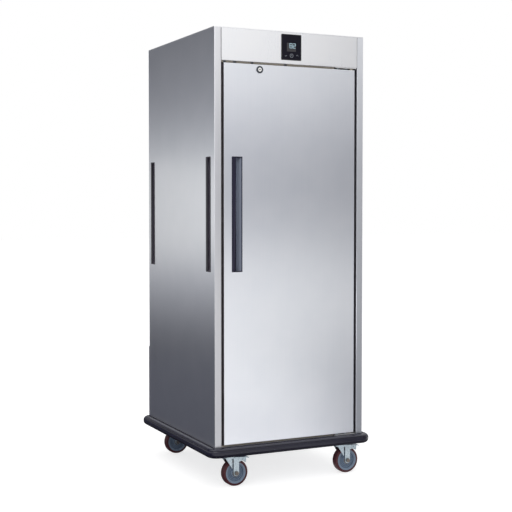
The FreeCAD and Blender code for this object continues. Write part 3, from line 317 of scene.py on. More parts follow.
# Printed touch glass: blue-black and near mirror, with finger smears. Its display is a duller film.
GLASS = Finish("black_touch_glass", "#110F1C", "#171524", (40, 40, 40), (0.09, 0.16), specular=0.12)
PANE = Finish("display_film", "#464548", "#4E4D50", (8, 8, 8), (0.3, 0.4), specular=0.12)
# The display segments are pale blue with a painted glow, and the printed key symbols are grey with a fainter
# painted glow.
DIGIT = Finish("display_segment_painted_glow", "#A6C8D8", "#BCDAE6", (3, 3, 3), (0.3, 0.4), glow=0.7)
SYMBOL = Finish("key_symbol_ink_painted_glow", "#8E939C", "#A2A7AF", (2, 2, 2), (0.35, 0.45), glow=0.2)
# Polypropylene hub: blue-grey and waxy, with a faint orange-peel skin. Down in its dish it is painted darker, a
# painted shade in the recess.
HUB = Finish("moulded_polypropylene", "#7E90A6", "#8E9FB4", (1.4, 1.4, 1.4), (0.34, 0.46), 0.012, specular=0.45)
HUB_DISH_SHADE = Finish("moulded_polypropylene_dish_painted_shade", "#5A6B84", "#687992", (1.4, 1.4, 1.4), (0.4, 0.52), 0.012,
                  specular=0.3)
# Burnished bolt steel: brown-grey, with turning marks.
BOLT = Finish("burnished_bolt_steel", "#68625E", "#7C7672", (0.8, 0.8, 0.8), (0.3, 0.42), 0.006, metallic=1.0)
# Cast polyurethane tyre: dark red, scuffed paler where it has rolled.
TREAD = Finish("cast_polyurethane", "#451820", "#5B2A31", (2.5, 2.5, 2.5), (0.4, 0.6), 0.02, specular=0.4)
# Stoved enamel on the fan motor: charcoal, with a slight orange peel.
ENAMEL = Finish("stoved_enamel", "#3A3B3E", "#47484B", (1.6, 1.6, 1.6), (0.28, 0.4), 0.01)
# Moulded nylon: cream and waxy.
NYLON = Finish("moulded_cream_nylon", "#DDD6C0", "#E8E2D0", (1.2, 1.2, 1.2), (0.4, 0.5), 0.01)
# Heater sheath: stainless tube, straw and grey where the heat has tinted it.
SHEATH = Finish("heat_tinted_sheath", "#6B6058", "#8C7F70", (16, 16, 16), (0.35, 0.5), metallic=1.0)

SLOT_FINISH: dict[str, Finish] = {
    "stainless_brushed": SIDE_STEEL, "stainless_door": DOOR_STEEL, "liner_steel": LINER_STEEL, "zinc_steel": ZINC,
    "chrome_wire": CHROME, "black_plastic": BLACK_ABS, "black_rubber": RUBBER, "grey_gasket": GASKET,
    "insulation": FOAM, "touch_glass": GLASS, "hub_plastic": HUB, "tread_polyurethane": TREAD,
    "motor_enamel": ENAMEL, "lock_nickel": NICKEL, "bronze_bush": BRONZE, "cream_plastic": NYLON,
    "heater_sheath": SHEATH, "breaker_plastic": BREAKER,
}
NODE_SLOT: dict[str, str] = {p["node"]: p["material_slot"] for p in frame["record"]["subparts"]}
NODE_BODY: dict[str, str] = {n: o["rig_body"] for n, o in frame["nodes"].items()}


def everything(middle: Vector, facing: Vector) -> bool:
    """Passes every element."""
    return True


def alone(piece: Piece) -> None:
    """Makes a piece the only selected object and the active one.

    Args:
        piece: what the next operator acts on.
    """
    bpy.ops.object.select_all(action="DESELECT")
    piece.select_set(True)
    bpy.context.view_layer.objects.active = piece


def select(piece: Piece, part: Part, test: Test) -> int:
    """Opens a piece in edit mode with only the elements selected that pass a test.

    Args:
        piece: mesh object to edit.
        part: kind of element that is tested.
        test: takes an element's middle and its normal, or an edge's direction.
    Returns:
        How many elements passed.
    """
    if bpy.context.mode != "EDIT_MESH":
        alone(piece)
        bpy.ops.object.mode_set(mode="EDIT")
    bpy.ops.mesh.select_mode(type=part.value)
    bpy.ops.mesh.select_all(action="DESELECT")
    mesh = bmesh.from_edit_mesh(piece.data)
    if part is Part.FACE:
        found = [f for f in mesh.faces if test(f.calc_center_median(), f.normal)]
    elif part is Part.EDGE:
        found = [e for e in mesh.edges if test((e.verts[0].co + e.verts[1].co) / 2,
                                               (e.verts[1].co - e.verts[0].co).normalized())]
    else:
        found = [v for v in mesh.verts if test(v.co, v.normal)]
    for element in found:
        element.select = True
    mesh.select_flush_mode()
    bmesh.update_edit_mesh(piece.data)
    return len(found)


def cut(piece: Piece, test: Test, point: Vector, *normals: tuple[int, int, int]) -> None:
    """Cuts the faces that pass a test along planes through a point.

    Args:
        piece: mesh object to edit.
        test: takes a face's middle and its normal.
        point: where all of the planes meet.
        normals: each plane's normal.
    """
    for normal in normals:
        select(piece, Part.FACE, test)
        bpy.ops.mesh.bisect(plane_co=point, plane_no=normal)


def press(steps_mm: Steps, apart: bool = False) -> None:
    """Insets the selected faces step by step.

    Args:
        steps_mm: each step's width and rise.
        apart: whether each face is inset by itself.
    """
    for wide, rise in steps_mm:
        bpy.ops.mesh.inset(thickness=wide * MM, depth=rise * MM, use_individual=apart)


def done(piece: Piece, smooth_deg: float = SMOOTH_DEG) -> None:
    """Leaves edit mode and smooths the shading below an angle.

    Args:
        piece: mesh object that was edited.
        smooth_deg: edges that turn by more than this stay sharp.
    """
    if bpy.context.mode == "EDIT_MESH":
        bpy.ops.object.mode_set(mode="OBJECT")
    alone(piece)
    bpy.ops.object.shade_smooth_by_angle(angle=math.radians(smooth_deg))


def refine(piece: Piece, kind: str, **settings: object) -> None:
    """Adds a modifier and applies it.

    Args:
        piece: mesh object that it changes.
        kind: the modifier's type.
        settings: the modifier's own attributes.
    """
    alone(piece)
    modifier = piece.modifiers.new(kind.lower(), kind)
    for name, value in settings.items():
        setattr(modifier, name, value)
    bpy.ops.object.modifier_apply(modifier=modifier.name)


def level(piece: Piece) -> None:
    """Lets the wide faces set the normals of their rims, so that flat sheet stays flat to the eye."""
    refine(piece, "WEIGHTED_NORMAL", weight=100, keep_sharp=True)


def add(name: str, kind: str, stretch: Vector = Vector((1, 1, 1)), **settings: object) -> Piece:
    """Adds a primitive and moves its place into its mesh.

    Args:
        name: the piece's name.
        kind: the mesh primitive that it starts from.
        stretch: how much it grows along each of its own axes.
        settings: its sizes, place and turn.
    Returns:
        The piece.
    """
    bpy.ops.object.select_all(action="DESELECT")
    getattr(bpy.ops.mesh, f"primitive_{kind}_add")(**settings)
    piece = bpy.context.object
    piece.name = piece.data.name = name
    piece.scale = stretch
    bpy.ops.object.transform_apply()
    return piece


def block(name: str, low: Vector, high: Vector) -> Piece:
    """Adds a box between its lowest and highest corners."""
    return add(name, "cube", high - low, size=1, location=(low + high) / 2)


def join(name: str, pieces: list[Piece]) -> Piece:
    """Joins pieces into the first one.

    Args:
        name: what the joined piece is called.
        pieces: mesh objects, of which only the first stays.
    Returns:
        The joined piece.
    """
    alone(pieces[0])
    for piece in pieces:
        piece.select_set(True)
    bpy.ops.object.join()
    pieces[0].name = pieces[0].data.name = name
    return pieces[0]


def copy_node(node: str, name: str) -> Piece:
    """Copies a CAD node as a new piece with its loose triangles merged, and leaves it in edit mode.

    Args:
        node: CAD node to copy.
        name: the new piece's name.
    Returns:
        The new piece, selected all over.
    """
    piece = bpy.data.objects.new(name, frame["nodes"][node].data.copy())
    piece.data.name = name
    bpy.context.scene.collection.objects.link(piece)
    select(piece, Part.VERTEX, everything)
    bpy.ops.mesh.remove_doubles(threshold=WELD)
    return piece


def soften(node: str, name: str, edge: Edge, steps: int = 2) -> Piece:
    """Copies a CAD node as a new piece whose sharp edges are rounded.

    Args:
        node: CAD node to copy.
        name: the new piece's name.
        edge: width of the rounding.
        steps: segments across the rounding.
    Returns:
        The new piece, not yet dressed.
    """
    piece = copy_node(node, name)
    bpy.ops.mesh.dissolve_limited(angle_limit=math.radians(1))
    bpy.ops.object.mode_set(mode="OBJECT")
    bpy.ops.mesh.customdata_custom_splitnormals_clear()
    refine(piece, "BEVEL", width=edge.value * MM, segments=steps, limit_method="ANGLE",
           angle_limit=math.radians(SHARP_DEG), use_clamp_overlap=False, loop_slide=True)
    done(piece)
    level(piece)
    return piece


def dress(piece: Piece, finish: Finish, slot: str, body: str, *nodes: str) -> Piece:
    """Gives a new piece its finish, its body and the CAD nodes that it stands for.

    Args:
        piece: finished mesh object.
        finish: its surface.
        slot: the record's material slot that the finish belongs to; not used.
        body: CAD body that it moves with.
        nodes: CAD nodes that it replaces.
    Returns:
        The same piece.
    """
    piece.data.materials.clear()
    piece.data.materials.append(finish.material())
    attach(piece, body)
    if nodes:
        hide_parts(*nodes)
    LOG.info("piece %s: %s, on %s, %d faces", piece.name, finish.name, body, len(piece.data.polygons))
    return piece


def tint(piece: Piece, finish: Finish, test: Test) -> None:
    """Gives some faces of a piece a further finish.

    Args:
        piece: dressed mesh object.
        finish: what the faces get.
        test: takes a face's middle and its normal.
    """
    piece.data.materials.append(finish.material())
    select(piece, Part.FACE, test)
    piece.active_material_index = len(piece.data.materials) - 1
    bpy.ops.object.material_slot_assign()
    done(piece)


def repaint(node: str, finish: Finish) -> None:
    """Gives a CAD node's object its finish through its material slots.

    Args:
        node: CAD node that stays in view.
        finish: its surface.
    """
    shown = frame["nodes"][node]
    if not shown.material_slots:
        shown.data.materials.append(finish.material())
    for held in shown.material_slots:
        held.material = finish.material()
    LOG.info("node %s: %s", node, finish.name)


def soft_copy(node: str, name: str, edge: Edge, finish: Finish | None = None, steps: int = 2) -> Piece:
    """Stands a softened copy in for a CAD node, on the node's own body, with its slot's finish unless another is
    given.
    """
    slot = NODE_SLOT[node]
    return dress(soften(node, name, edge, steps), finish or SLOT_FINISH[slot], slot, NODE_BODY[node], node)


@dataclass
class Cabinet:
    """The sheet-metal body: panels, lid, bumper, hinges and sweep strips.

    A facing is the least share of a normal along an axis for a face that counts as looking that way.
    """

    post_facing: float = 0.8
    rim_facing: float = 0.6
    under_facing: float = 0.1
    seam_mm: tuple[float, float] = (1.5, 0.3)
    bead_round_mm: float = 0.25
    glossy_rim_mm: float = 22.0
    strip_inset_mm: float = 9.0
    strip_thick_mm: float = 2.5
    strip_gap_mm: float = 2.0
    strip_steps_mm: Steps = ((1.2, 0.0), (0.5, -0.6))
    head_places_mm: tuple[float, ...] = (-286.0, -243.0, -168.0, -22.0)
    head_mm: tuple[float, float] = (3.0, 1.6)
    head_proud_mm: float = 0.2
    head_steps_mm: Steps = ((1.6, 0.0), (0.3, -0.8))
    socket_steps_mm: Steps = ((2.0, 0.0), (0.2, -1.2))
    upper_half_m: float = 1.0

    def side(self, hand: str, post: Finish) -> None:
        """Copies a side panel so that its folded post has a finish of its own.

        Args:
            hand: left or right.
            post: finish of the faces that look forward.
        """
        node = f"side_panel_{hand}"
        piece = copy_node(node, f"side_shell_{hand}")
        done(piece)
        dress(piece, SIDE_STEEL, "stainless_brushed", "cabinet", node)
        tint(piece, post, lambda middle, facing: facing.y < -self.post_facing)

    def bumper(self) -> None:
        """Softens the bumper's rims, and dulls and darkens its underside and the ledge along the panels, a painted
        shade.
        """
        ring = soft_copy("bumper", "bumper_ring", Edge.SOFT, steps=3)
        low, high = (corner * (1 - self.glossy_rim_mm * MM / abs(corner.x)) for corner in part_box("bumper"))
        for corner in (low, high):
            cut(ring, everything, corner, ALONG_X, ALONG_Y)
        # Underside and inner ledge get the dull, darker rubber: a painted shade under the bumper and at the
        # panels' foot.
        tint(ring, RUBBER_SHADE, lambda middle, facing: facing.z < -self.under_facing or (
            facing.z > SQUARE and low.x < middle.x < high.x and low.y < middle.y < high.y))

    def lid(self) -> None:
        """Copies the top panel so that its rims match the sheets under them."""
        lid = soft_copy("top_panel", "lid_sheet", Edge.NEAT, TOP_STEEL)
        tint(lid, FASCIA_STEEL, lambda middle, facing: facing.y < -self.rim_facing)
        tint(lid, SIDE_STEEL, lambda middle, facing: max(abs(facing.x), facing.y) > self.rim_facing)

    def seams(self) -> None:
        """Runs a bead of sealant along both joints between the fascia and the posts."""
        low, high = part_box("fascia")
        reach = Vector((self.seam_mm[0] / 2, self.seam_mm[1], 0)) * MM
        beads = []
        for name, x in (("seam_left", low.x), ("seam_right", high.x)):
            bead = block(name, Vector((x, low.y, low.z)) - reach, Vector((x, low.y, high.z)) + reach)
            refine(bead, "BEVEL", width=self.bead_round_mm * MM, segments=2)
            beads.append(bead)
        seams = join("fascia_seams", beads)
        done(seams)
        dress(seams, SEAM, "black_rubber", "cabinet")

    def screws(self) -> None:
        """Softens the screws' heads and sinks a socket in each, at the back and under the fascia."""
        heads = soft_copy("screws", "panel_screws", Edge.FINE)
        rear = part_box("screws")[1].y
        for test in (lambda middle, facing: facing.y > FLAT and middle.y > rear - NEAR,
                     lambda middle, facing: facing.z < -FLAT and middle.z > self.upper_half_m):
            if select(heads, Part.FACE, test):
                press(self.socket_steps_mm, apart=True)
            done(heads)

    def strip(self, name: str, low_z: float, high_z: float, heads_mm: tuple[float, ...] = ()) -> None:
        """Models a pale sweep strip behind the front plane, a painted light in the shaded gap, with a soft bead
        along both rims and its screws.

        Args:
            name: the strip's name.
            low_z: height of its lower edge in metres.
            high_z: height of its upper edge in metres.
            heads_mm: how far across each of its screws is.
        """
        left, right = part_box("fascia")[0].x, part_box("door_hinges")[0].x - self.strip_gap_mm * MM
        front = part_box("door_skin")[0].y + self.strip_inset_mm * MM
        back = front + self.strip_thick_mm * MM
        piece = block(name, Vector((left, front, low_z)), Vector((right, back, high_z)))
        select(piece, Part.FACE, lambda middle, facing: facing.y < -SQUARE)
        press(self.strip_steps_mm)
        bpy.ops.object.mode_set(mode="OBJECT")
        refine(piece, "BEVEL", width=self.bead_round_mm * MM, segments=2, limit_method="ANGLE")
        done(piece)
        # The strip's pale colour is a painted light in the shaded gap.
        dress(piece, SWEEP_PAINTED_LIGHT, "breaker_plastic", "cabinet")
        heads = []
        for number, x_mm in enumerate(heads_mm):
            middle = Vector((x_mm * MM, front - self.head_proud_mm * MM, (low_z + high_z) / 2))
            head = add(f"{name}_screw_{number}", "cylinder", vertices=20, radius=self.head_mm[0] * MM,
                       depth=self.head_mm[1] * MM, location=middle, rotation=ROUND_Y)
            refine(head, "BEVEL", width=Edge.FINE.value * MM, segments=2, limit_method="ANGLE")
            select(head, Part.FACE, lambda place, facing: facing.y < -SQUARE)
            press(self.head_steps_mm)
            done(head)
            heads.append(head)
        if heads:
            dress(join(f"{name}_screws", heads), HINGE_STEEL, "zinc_steel", "cabinet")

    def build(self) -> None:
        """Makes the shells, bumper, lid, seams, hinges and rear cover, and the strips over and under the door."""
        self.side("left", LEFT_POST)
        self.side("right", RIGHT_POST)
        self.bumper()
        self.lid()
        self.seams()
        soft_copy("door_hinges", "pivot_hinges", Edge.FINE, NICKEL)
        soft_copy("rear_cover", "service_cover", Edge.NEAT)
        self.screws()
        door_low, door_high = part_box("door_skin")
        hinge_low, hinge_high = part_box("door_hinges")
        gap = self.strip_gap_mm * MM
        self.strip("header_strip", door_high.z + gap, hinge_high.z, self.head_places_mm)
        self.strip("threshold_strip", hinge_low.z, door_low.z - gap)
        repaint("sill", TOP_STEEL)
        repaint("fascia", FASCIA_STEEL)


@dataclass
class ControlUnit:
    """The touch control in the fascia: glass with a sunk window, digits and key symbols.

    Places are given from the middle of its front, across and up.
    """

    corner_mm: float = 1.5
    window_mm: tuple[float, float] = (41.0, 35.0)
    window_at_mm: tuple[float, float] = (-0.5, 0.0)
    window_depth_mm: float = 0.5
    window_near_mm: float = 2.0
    film_mm: float = 0.25
    film_round_mm: float = 0.1
    digit_mm: tuple[float, float] = (12.0, 19.0)
    digit_at_mm: tuple[tuple[float, float], ...] = ((-2.6, 6.0), (12.4, 6.0))
    reading: str = "82"
    stroke_mm: float = 1.4
    stroke_gap_mm: float = 0.6
    key_row_mm: float = -33.0
    key_pitch_mm: float = 25.0
    arrow_mm: tuple[float, float] = (9.0, 1.3)
    arrow_rise_mm: float = 4.0
    ring_mm: tuple[float, float] = (6.8, 0.65)
    ring_flat: float = 0.38
    stem_mm: tuple[float, float] = (1.3, 5.4)
    stem_up_mm: float = 1.6
    centre: Vector = field(init=False)
    face: float = field(init=False)

    SEGMENTS: ClassVar[dict[str, str]] = {"8": "abcdefg", "2": "abged"}

    def __post_init__(self) -> None:
        """Reads the front's place from the CAD node."""
        low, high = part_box("controller_front")
        self.centre = (low + high) / 2
        self.face = low.y

    def at(self, x_mm: float, z_mm: float, out_mm: float = 0.0) -> Vector:
        """Returns a point on the front, or as far out from it as is asked."""
        return Vector((self.centre.x + x_mm * MM, self.face - out_mm * MM, self.centre.z + z_mm * MM))

    def bar(self, name: str, x_mm: float, z_mm: float, size_mm: tuple[float, float], out_mm: float = 0.0) -> Piece:
        """Adds a thin raised bar with softened rims.

        Args:
            name: the bar's name.
            x_mm: how far across its middle is.
            z_mm: how far up its middle is.
            size_mm: its width and height.
            out_mm: how far its back stands out from the front.
        Returns:
            The bar, not yet dressed.
        """
        half = Vector((size_mm[0] / 2, 0, size_mm[1] / 2)) * MM
        low, high = self.at(x_mm, z_mm, out_mm + self.film_mm) - half, self.at(x_mm, z_mm, out_mm) + half
        piece = block(name, low, high)
        refine(piece, "BEVEL", width=self.film_round_mm * MM, segments=1)
        return piece

    def glass(self) -> None:
        """Models the glass plate with rounded corners and a sunk window."""
        piece = block("touch_glass", *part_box("controller_front"))
        select(piece, Part.EDGE, lambda middle, along: abs(along.y) > SQUARE)
        bpy.ops.mesh.bevel(offset=self.corner_mm * MM, segments=4)
        (wide, tall), (mid_x, mid_z) = self.window_mm, self.window_at_mm
        for side in (-1, 1):
            corner = self.at(mid_x + side * wide / 2, mid_z + side * tall / 2)
            cut(piece, everything, corner, ALONG_X, ALONG_Z)
        window, near = self.at(mid_x, mid_z), self.window_near_mm * MM
        select(piece, Part.FACE, lambda middle, facing: facing.y < -SQUARE and (middle - window).length < near)
        press(((self.window_depth_mm, -self.window_depth_mm),))
        done(piece)
        dress(piece, GLASS, "touch_glass", "cabinet", "controller_front")
        edge = 2 * self.window_depth_mm
        pane = self.bar("display_pane", mid_x, mid_z, (wide - edge, tall - edge), -self.window_depth_mm)
        dress(pane, PANE, "touch_glass", "cabinet")

    def digits(self) -> None:
        """Models the reading in seven-segment bars on the display."""
        wide, tall = self.digit_mm
        half, quarter = wide / 2 - self.stroke_mm / 2, tall / 4 - self.stroke_mm / 4
        level_bar = (2 * half - self.stroke_gap_mm, self.stroke_mm)
        upright_bar = (self.stroke_mm, 2 * quarter - self.stroke_gap_mm)
        place = {"a": (0, 2 * quarter, level_bar), "b": (half, quarter, upright_bar),
                 "c": (half, -quarter, upright_bar), "d": (0, -2 * quarter, level_bar),
                 "e": (-half, -quarter, upright_bar), "f": (-half, quarter, upright_bar), "g": (0, 0, level_bar)}
        seat = self.film_mm - self.window_depth_mm
        for number, (figure, (x, z)) in enumerate(zip(self.reading, self.digit_at_mm)):
            bars = []
            for letter in self.SEGMENTS[figure]:
                dx, dz, size = place[letter]
                bars.append(self.bar(f"segment_{letter}", x + dx, z + dz, size, seat))
            dress(join(f"display_digit_{number}", bars), DIGIT, "touch_glass", "cabinet")

    def keys(self) -> None:
        """Models the three key symbols under the display: down, power and up."""
        for name, side in (("key_down", -1), ("key_up", 1)):
            x = side * self.key_pitch_mm
            piece = self.bar(name, x, self.key_row_mm, self.arrow_mm)
            tip = self.at(x, 0)
            cut(piece, everything, tip, ALONG_X)
            select(piece, Part.VERTEX, lambda point, normal: abs(point.x - tip.x) < NEAR)
            bpy.ops.transform.translate(value=(0, 0, side * self.arrow_rise_mm * MM))
            done(piece)
            dress(piece, SYMBOL, "touch_glass", "cabinet")
        middle = self.at(0, self.key_row_mm, self.film_mm / 2)
        ring = add("key_power", "torus", major_radius=self.ring_mm[0] * MM, minor_radius=self.ring_mm[1] * MM,
                   major_segments=40, minor_segments=8, location=middle, rotation=ROUND_Y)
        select(ring, Part.VERTEX, everything)
        bpy.ops.transform.resize(value=(1, self.ring_flat, 1), center_override=middle)
        done(ring)
        stem = self.bar("power_stem", 0, self.key_row_mm + self.stem_up_mm, self.stem_mm)
        dress(join("key_power", [ring, stem]), SYMBOL, "touch_glass", "cabinet")

    def build(self) -> None:
        """Models the front and softens the housing's frame."""
        self.glass()
        self.digits()
        self.keys()
        soft_copy("controller_body", "control_housing", Edge.STOUT)


@dataclass
class Door:
    """The insulated door: its magnetic seal, handle, inner pan, edge trim and lock."""

    seal_steps_mm: Steps = ((0.4, 2.6), (1.6, 0.4), (0.8, -0.9), (0.8, 0.9), (0.5, 4.2), (1.4, 2.2), (2.5, 0.3))
    seal_smooth_deg: float = 50.0
    slope_facing: float = 0.5
    deep_half_mm: float = 15.0
    pan_steps_mm: Steps = ((60.0, 0.0), (1.0, 0.4), (3.0, 2.6), (1.4, 0.5), (3.0, 0.0))
    pan_middle_mm: float = 50.0
    keyway_mm: tuple[float, float] = (0.5, 8.5)

    def seal(self) -> None:
        """Models the door seal as a ring with a flange, a pleat and a sealing bulb, by repeated insets."""
        low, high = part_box("door_gasket")
        middle = Vector(((low.x + high.x) / 2, low.y, (low.z + high.z) / 2))
        piece = add("door_seal", "plane", Vector((high.x - low.x, high.z - low.z, 1)), size=1, location=middle,
                    rotation=(-math.pi / 2, 0, 0))
        select(piece, Part.FACE, everything)
        press(self.seal_steps_mm + tuple((wide, -rise) for wide, rise in reversed(self.seal_steps_mm)))
        bpy.ops.mesh.delete(type="ONLY_FACE")
        select(piece, Part.EDGE, lambda point, along: abs(point.y - low.y) < WELD)
        bpy.ops.mesh.bridge_edge_loops()
        select(piece, Part.FACE, everything)
        bpy.ops.mesh.normals_make_consistent(inside=False)
        done(piece, self.seal_smooth_deg)
        dress(piece, GASKET, "grey_gasket", "door", "door_gasket")

    def on_slope(self, middle: Vector, facing: Vector) -> bool:
        """Tells whether a face is on the slope of the handle's scoop."""
        return facing.x < -self.slope_facing and facing.y < -self.slope_facing

    def handle(self) -> None:
        """Softens the handle, and paints its sloping scoop pale, a painted light, and paler still over its deep
        half, a painted fill light against the shade there.
        """
        handle = soft_copy("door_handle", "door_handle_grip", Edge.FULL, HANDLE_ABS)
        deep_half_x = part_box("door_handle")[1].x - self.deep_half_mm * MM
        cut(handle, self.on_slope, Vector((deep_half_x, 0, 0)), ALONG_X)
        # The slope is painted pale, a painted light, and its deep half paler still, a painted fill light against
        # the shade.
        tint(handle, SCOOP_PAINTED_LIGHT, self.on_slope)
        tint(handle, SCOOP_PAINTED_FILL, lambda middle, facing: self.on_slope(middle, facing) and middle.x < deep_half_x)

    def pan(self) -> None:
        """Presses a raised field into the door's inner sheet."""
        sheet = soft_copy("door_liner", "door_inner_pan", Edge.NEAT)
        rear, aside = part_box("door_liner")[1].y, self.pan_middle_mm * MM
        select(sheet, Part.FACE,
               lambda middle, facing: facing.y > FLAT and middle.y > rear - NEAR and abs(middle.x) < aside)
        press(self.pan_steps_mm)
        done(sheet)
        level(sheet)

    def lock(self) -> None:
        """Softens the lock's ring and plug, and paints the plug's keyway dark, a painted shade in the slot."""
        soft_copy("lock_barrel", "lock_ring", Edge.NEAT, DARK_CHROME)
        plug = soft_copy("lock_plug", "lock_core", Edge.HAIRLINE)
        start, end = (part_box("lock_plug")[0].y + depth * MM for depth in self.keyway_mm)
        # The keyway's walls and floor get the dark chrome, a painted shade in the slot.
        tint(plug, DARK_CHROME, lambda middle, facing: start < middle.y < end
             and (abs(facing.z) > SQUARE or facing.y < -SQUARE))

    def build(self) -> None:
        """Makes the seal, handle, inner pan and lock, and gives the edge trim its lightened finish, a painted
        light in the shaded gaps.
        """
        self.seal()
        self.handle()
        self.pan()
        # The trim is lighter than black, a painted light in the shaded gaps beside the door.
        repaint("door_edge_trim", TRIM)
        self.lock()


@dataclass
class PushGrips:
    """The recessed grips in both sides. inward bounds how much a face that gets the painted fill light looks into
    the cart.
    """

    nodes: tuple[str, ...] = ("side_grips_left", "side_grips_right")
    fill_from_mm: float = 5.0
    inward: float = 0.1

    def build(self) -> None:
        """Softens the grips' rims and paints the faces deep inside them paler, a painted fill light against the
        shade there.
        """
        for node in self.nodes:
            grips = soft_copy(node, node.replace("side_grips", "push_grips"), Edge.FULL, GRIP_ABS)
            reach = max(abs(corner.x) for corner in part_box(node)) - self.fill_from_mm * MM
            # Faces deep in the recess are painted paler, a painted fill light against the shade there.
            tint(grips, GRIP_PAINTED_FILL,
                 lambda middle, facing: abs(middle.x) < reach and facing.x * middle.x > -self.inward)


@dataclass
class Caster:
    """One swivel caster: fork, hub, tread and, at the front, a brake pedal.

    web, dish and boss are measured along the axle from the middle of the wheel.
    """

    place: str
    bolt_radius_mm: float = 9.6
    bolt_head_mm: float = 5.95
    web_mm: float = 9.0
    dish_mm: float = 9.3
    boss_mm: float = 17.0
    rib_mm: tuple[float, ...] = (23.5, 29.5)
    rib_round_mm: float = 1.5
    axle: Vector = field(init=False)

    def __post_init__(self) -> None:
        """Reads the middle of the wheel from the CAD node."""
        low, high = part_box(f"wheel_tread_{self.place}")
        self.axle = (low + high) / 2

    def along(self, point: Vector) -> float:
        """Returns how far along the axle a point is from the middle of the wheel, in millimetres."""
        return abs(point.y - self.axle.y) / MM

    def out(self, point: Vector) -> float:
        """Returns how far out from the axle a point is, in millimetres."""
        return math.hypot(point.x - self.axle.x, point.z - self.axle.z) / MM

    def ribs(self) -> list[Piece]:
        """Makes the raised rings that stiffen the hub's web on both sides.

        Returns:
            The rings, not yet dressed.
        """
        rings = []
        for side in (-1, 1):
            middle = self.axle + Vector((0, side * self.web_mm * MM, 0))
            for radius_mm in self.rib_mm:
                rings.append(add("hub_rib", "torus", major_radius=radius_mm * MM,
                                 minor_radius=self.rib_round_mm * MM, major_segments=72, minor_segments=10,
                                 location=middle, rotation=ROUND_Y))
        return rings

    def build(self) -> None:
        """Softens the pressed and moulded edges, adds the hub's rings, gives the bolt heads their finish, and
        paints the hub's dish darker, a painted shade in the recess.
        """
        head = self.along(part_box(f"caster_fork_{self.place}")[1]) - self.bolt_head_mm
        fork = soft_copy(f"caster_fork_{self.place}", f"swivel_fork_{self.place}", Edge.STOUT)
        tint(fork, BOLT,
             lambda middle, facing: self.along(middle) > head and self.out(middle) < self.bolt_radius_mm)
        hub = soften(f"wheel_hub_{self.place}", f"wheel_centre_{self.place}", Edge.STOUT)
        hub = join(hub.name, [hub, *self.ribs()])
        done(hub)
        dress(hub, HUB, "hub_plastic", f"wheel_{self.place}", f"wheel_hub_{self.place}")
        # The dish is painted darker, a painted shade in the recess.
        tint(hub, HUB_DISH_SHADE, lambda middle, facing: self.along(middle) < self.dish_mm)
        tint(hub, BOLT, lambda middle, facing: self.along(middle) > self.boss_mm)
        if f"brake_pedal_{self.place}" in frame["nodes"]:
            soft_copy(f"brake_pedal_{self.place}", f"brake_lever_{self.place}", Edge.NEAT)


@dataclass
class Card:
    """A studio card that only reflections see, shaded between heights.

    Its place and size are in metres. stops are shares of its height, each with its colour. fade is the share of
    its light that its right side keeps, and where across its width that fading starts and ends.
    """

    name: str
    middle: tuple[float, float, float]
    wide: float
    tall: float
    turn_deg: float
    stops: tuple[tuple[float, str], ...]
    lean_deg: float = 90.0
    fade: tuple[float, float, float] = (1.0, 0.0, 0.5)

    def build(self) -> None:
        """Stands the card up as stage, hidden from all but glossy rays."""
        bpy.ops.object.select_all(action="DESELECT")
        turn = (math.radians(self.lean_deg), 0, math.radians(self.turn_deg))
        bpy.ops.mesh.primitive_plane_add(size=1, location=self.middle, rotation=turn)
        card = bpy.context.object
        card.name = self.name
        card.scale = (self.wide, self.tall, 1)
        card.data.materials.append(self.paint())
        for ray in ("camera", "diffuse", "transmission", "shadow", "volume_scatter"):
            setattr(card, "visible_" + ray, False)

    def paint(self) -> bpy.types.Material:
        """Makes the card's glow, which changes from stop to stop and fades across.

        Returns:
            The glow's material.
        """
        made = bpy.data.materials.new(self.name)
        tree = bare_tree(made)
        # The card's own coordinates run from -0.5 to 0.5 both ways.
        place = add_node(tree, "TexCoord").outputs["Object"]
        across, height, _ = add_node(tree, "SeparateXYZ", {0: place}).outputs
        share = add_node(tree, "Math", {0: height, 1: 0.5}, operation="ADD").outputs[0]
        ramp = add_node(tree, "ValToRGB", {0: share})
        while len(ramp.color_ramp.elements) < len(self.stops):
            ramp.color_ramp.elements.new(0.5)
        for element, (position, colour) in zip(ramp.color_ramp.elements, self.stops):
            element.position = position
            element.color = linear(colour)
        keep, start, end = self.fade
        kept = add_node(tree, "MapRange", {"Value": across, "From Min": start, "From Max": end, "To Min": 1.0,
                                           "To Max": keep}).outputs[0]
        glow = add_node(tree, "Emission", {"Color": ramp.outputs[0], "Strength": kept})
        add_node(tree, "OutputMaterial", {"Surface": glow.outputs[0]})
        return made


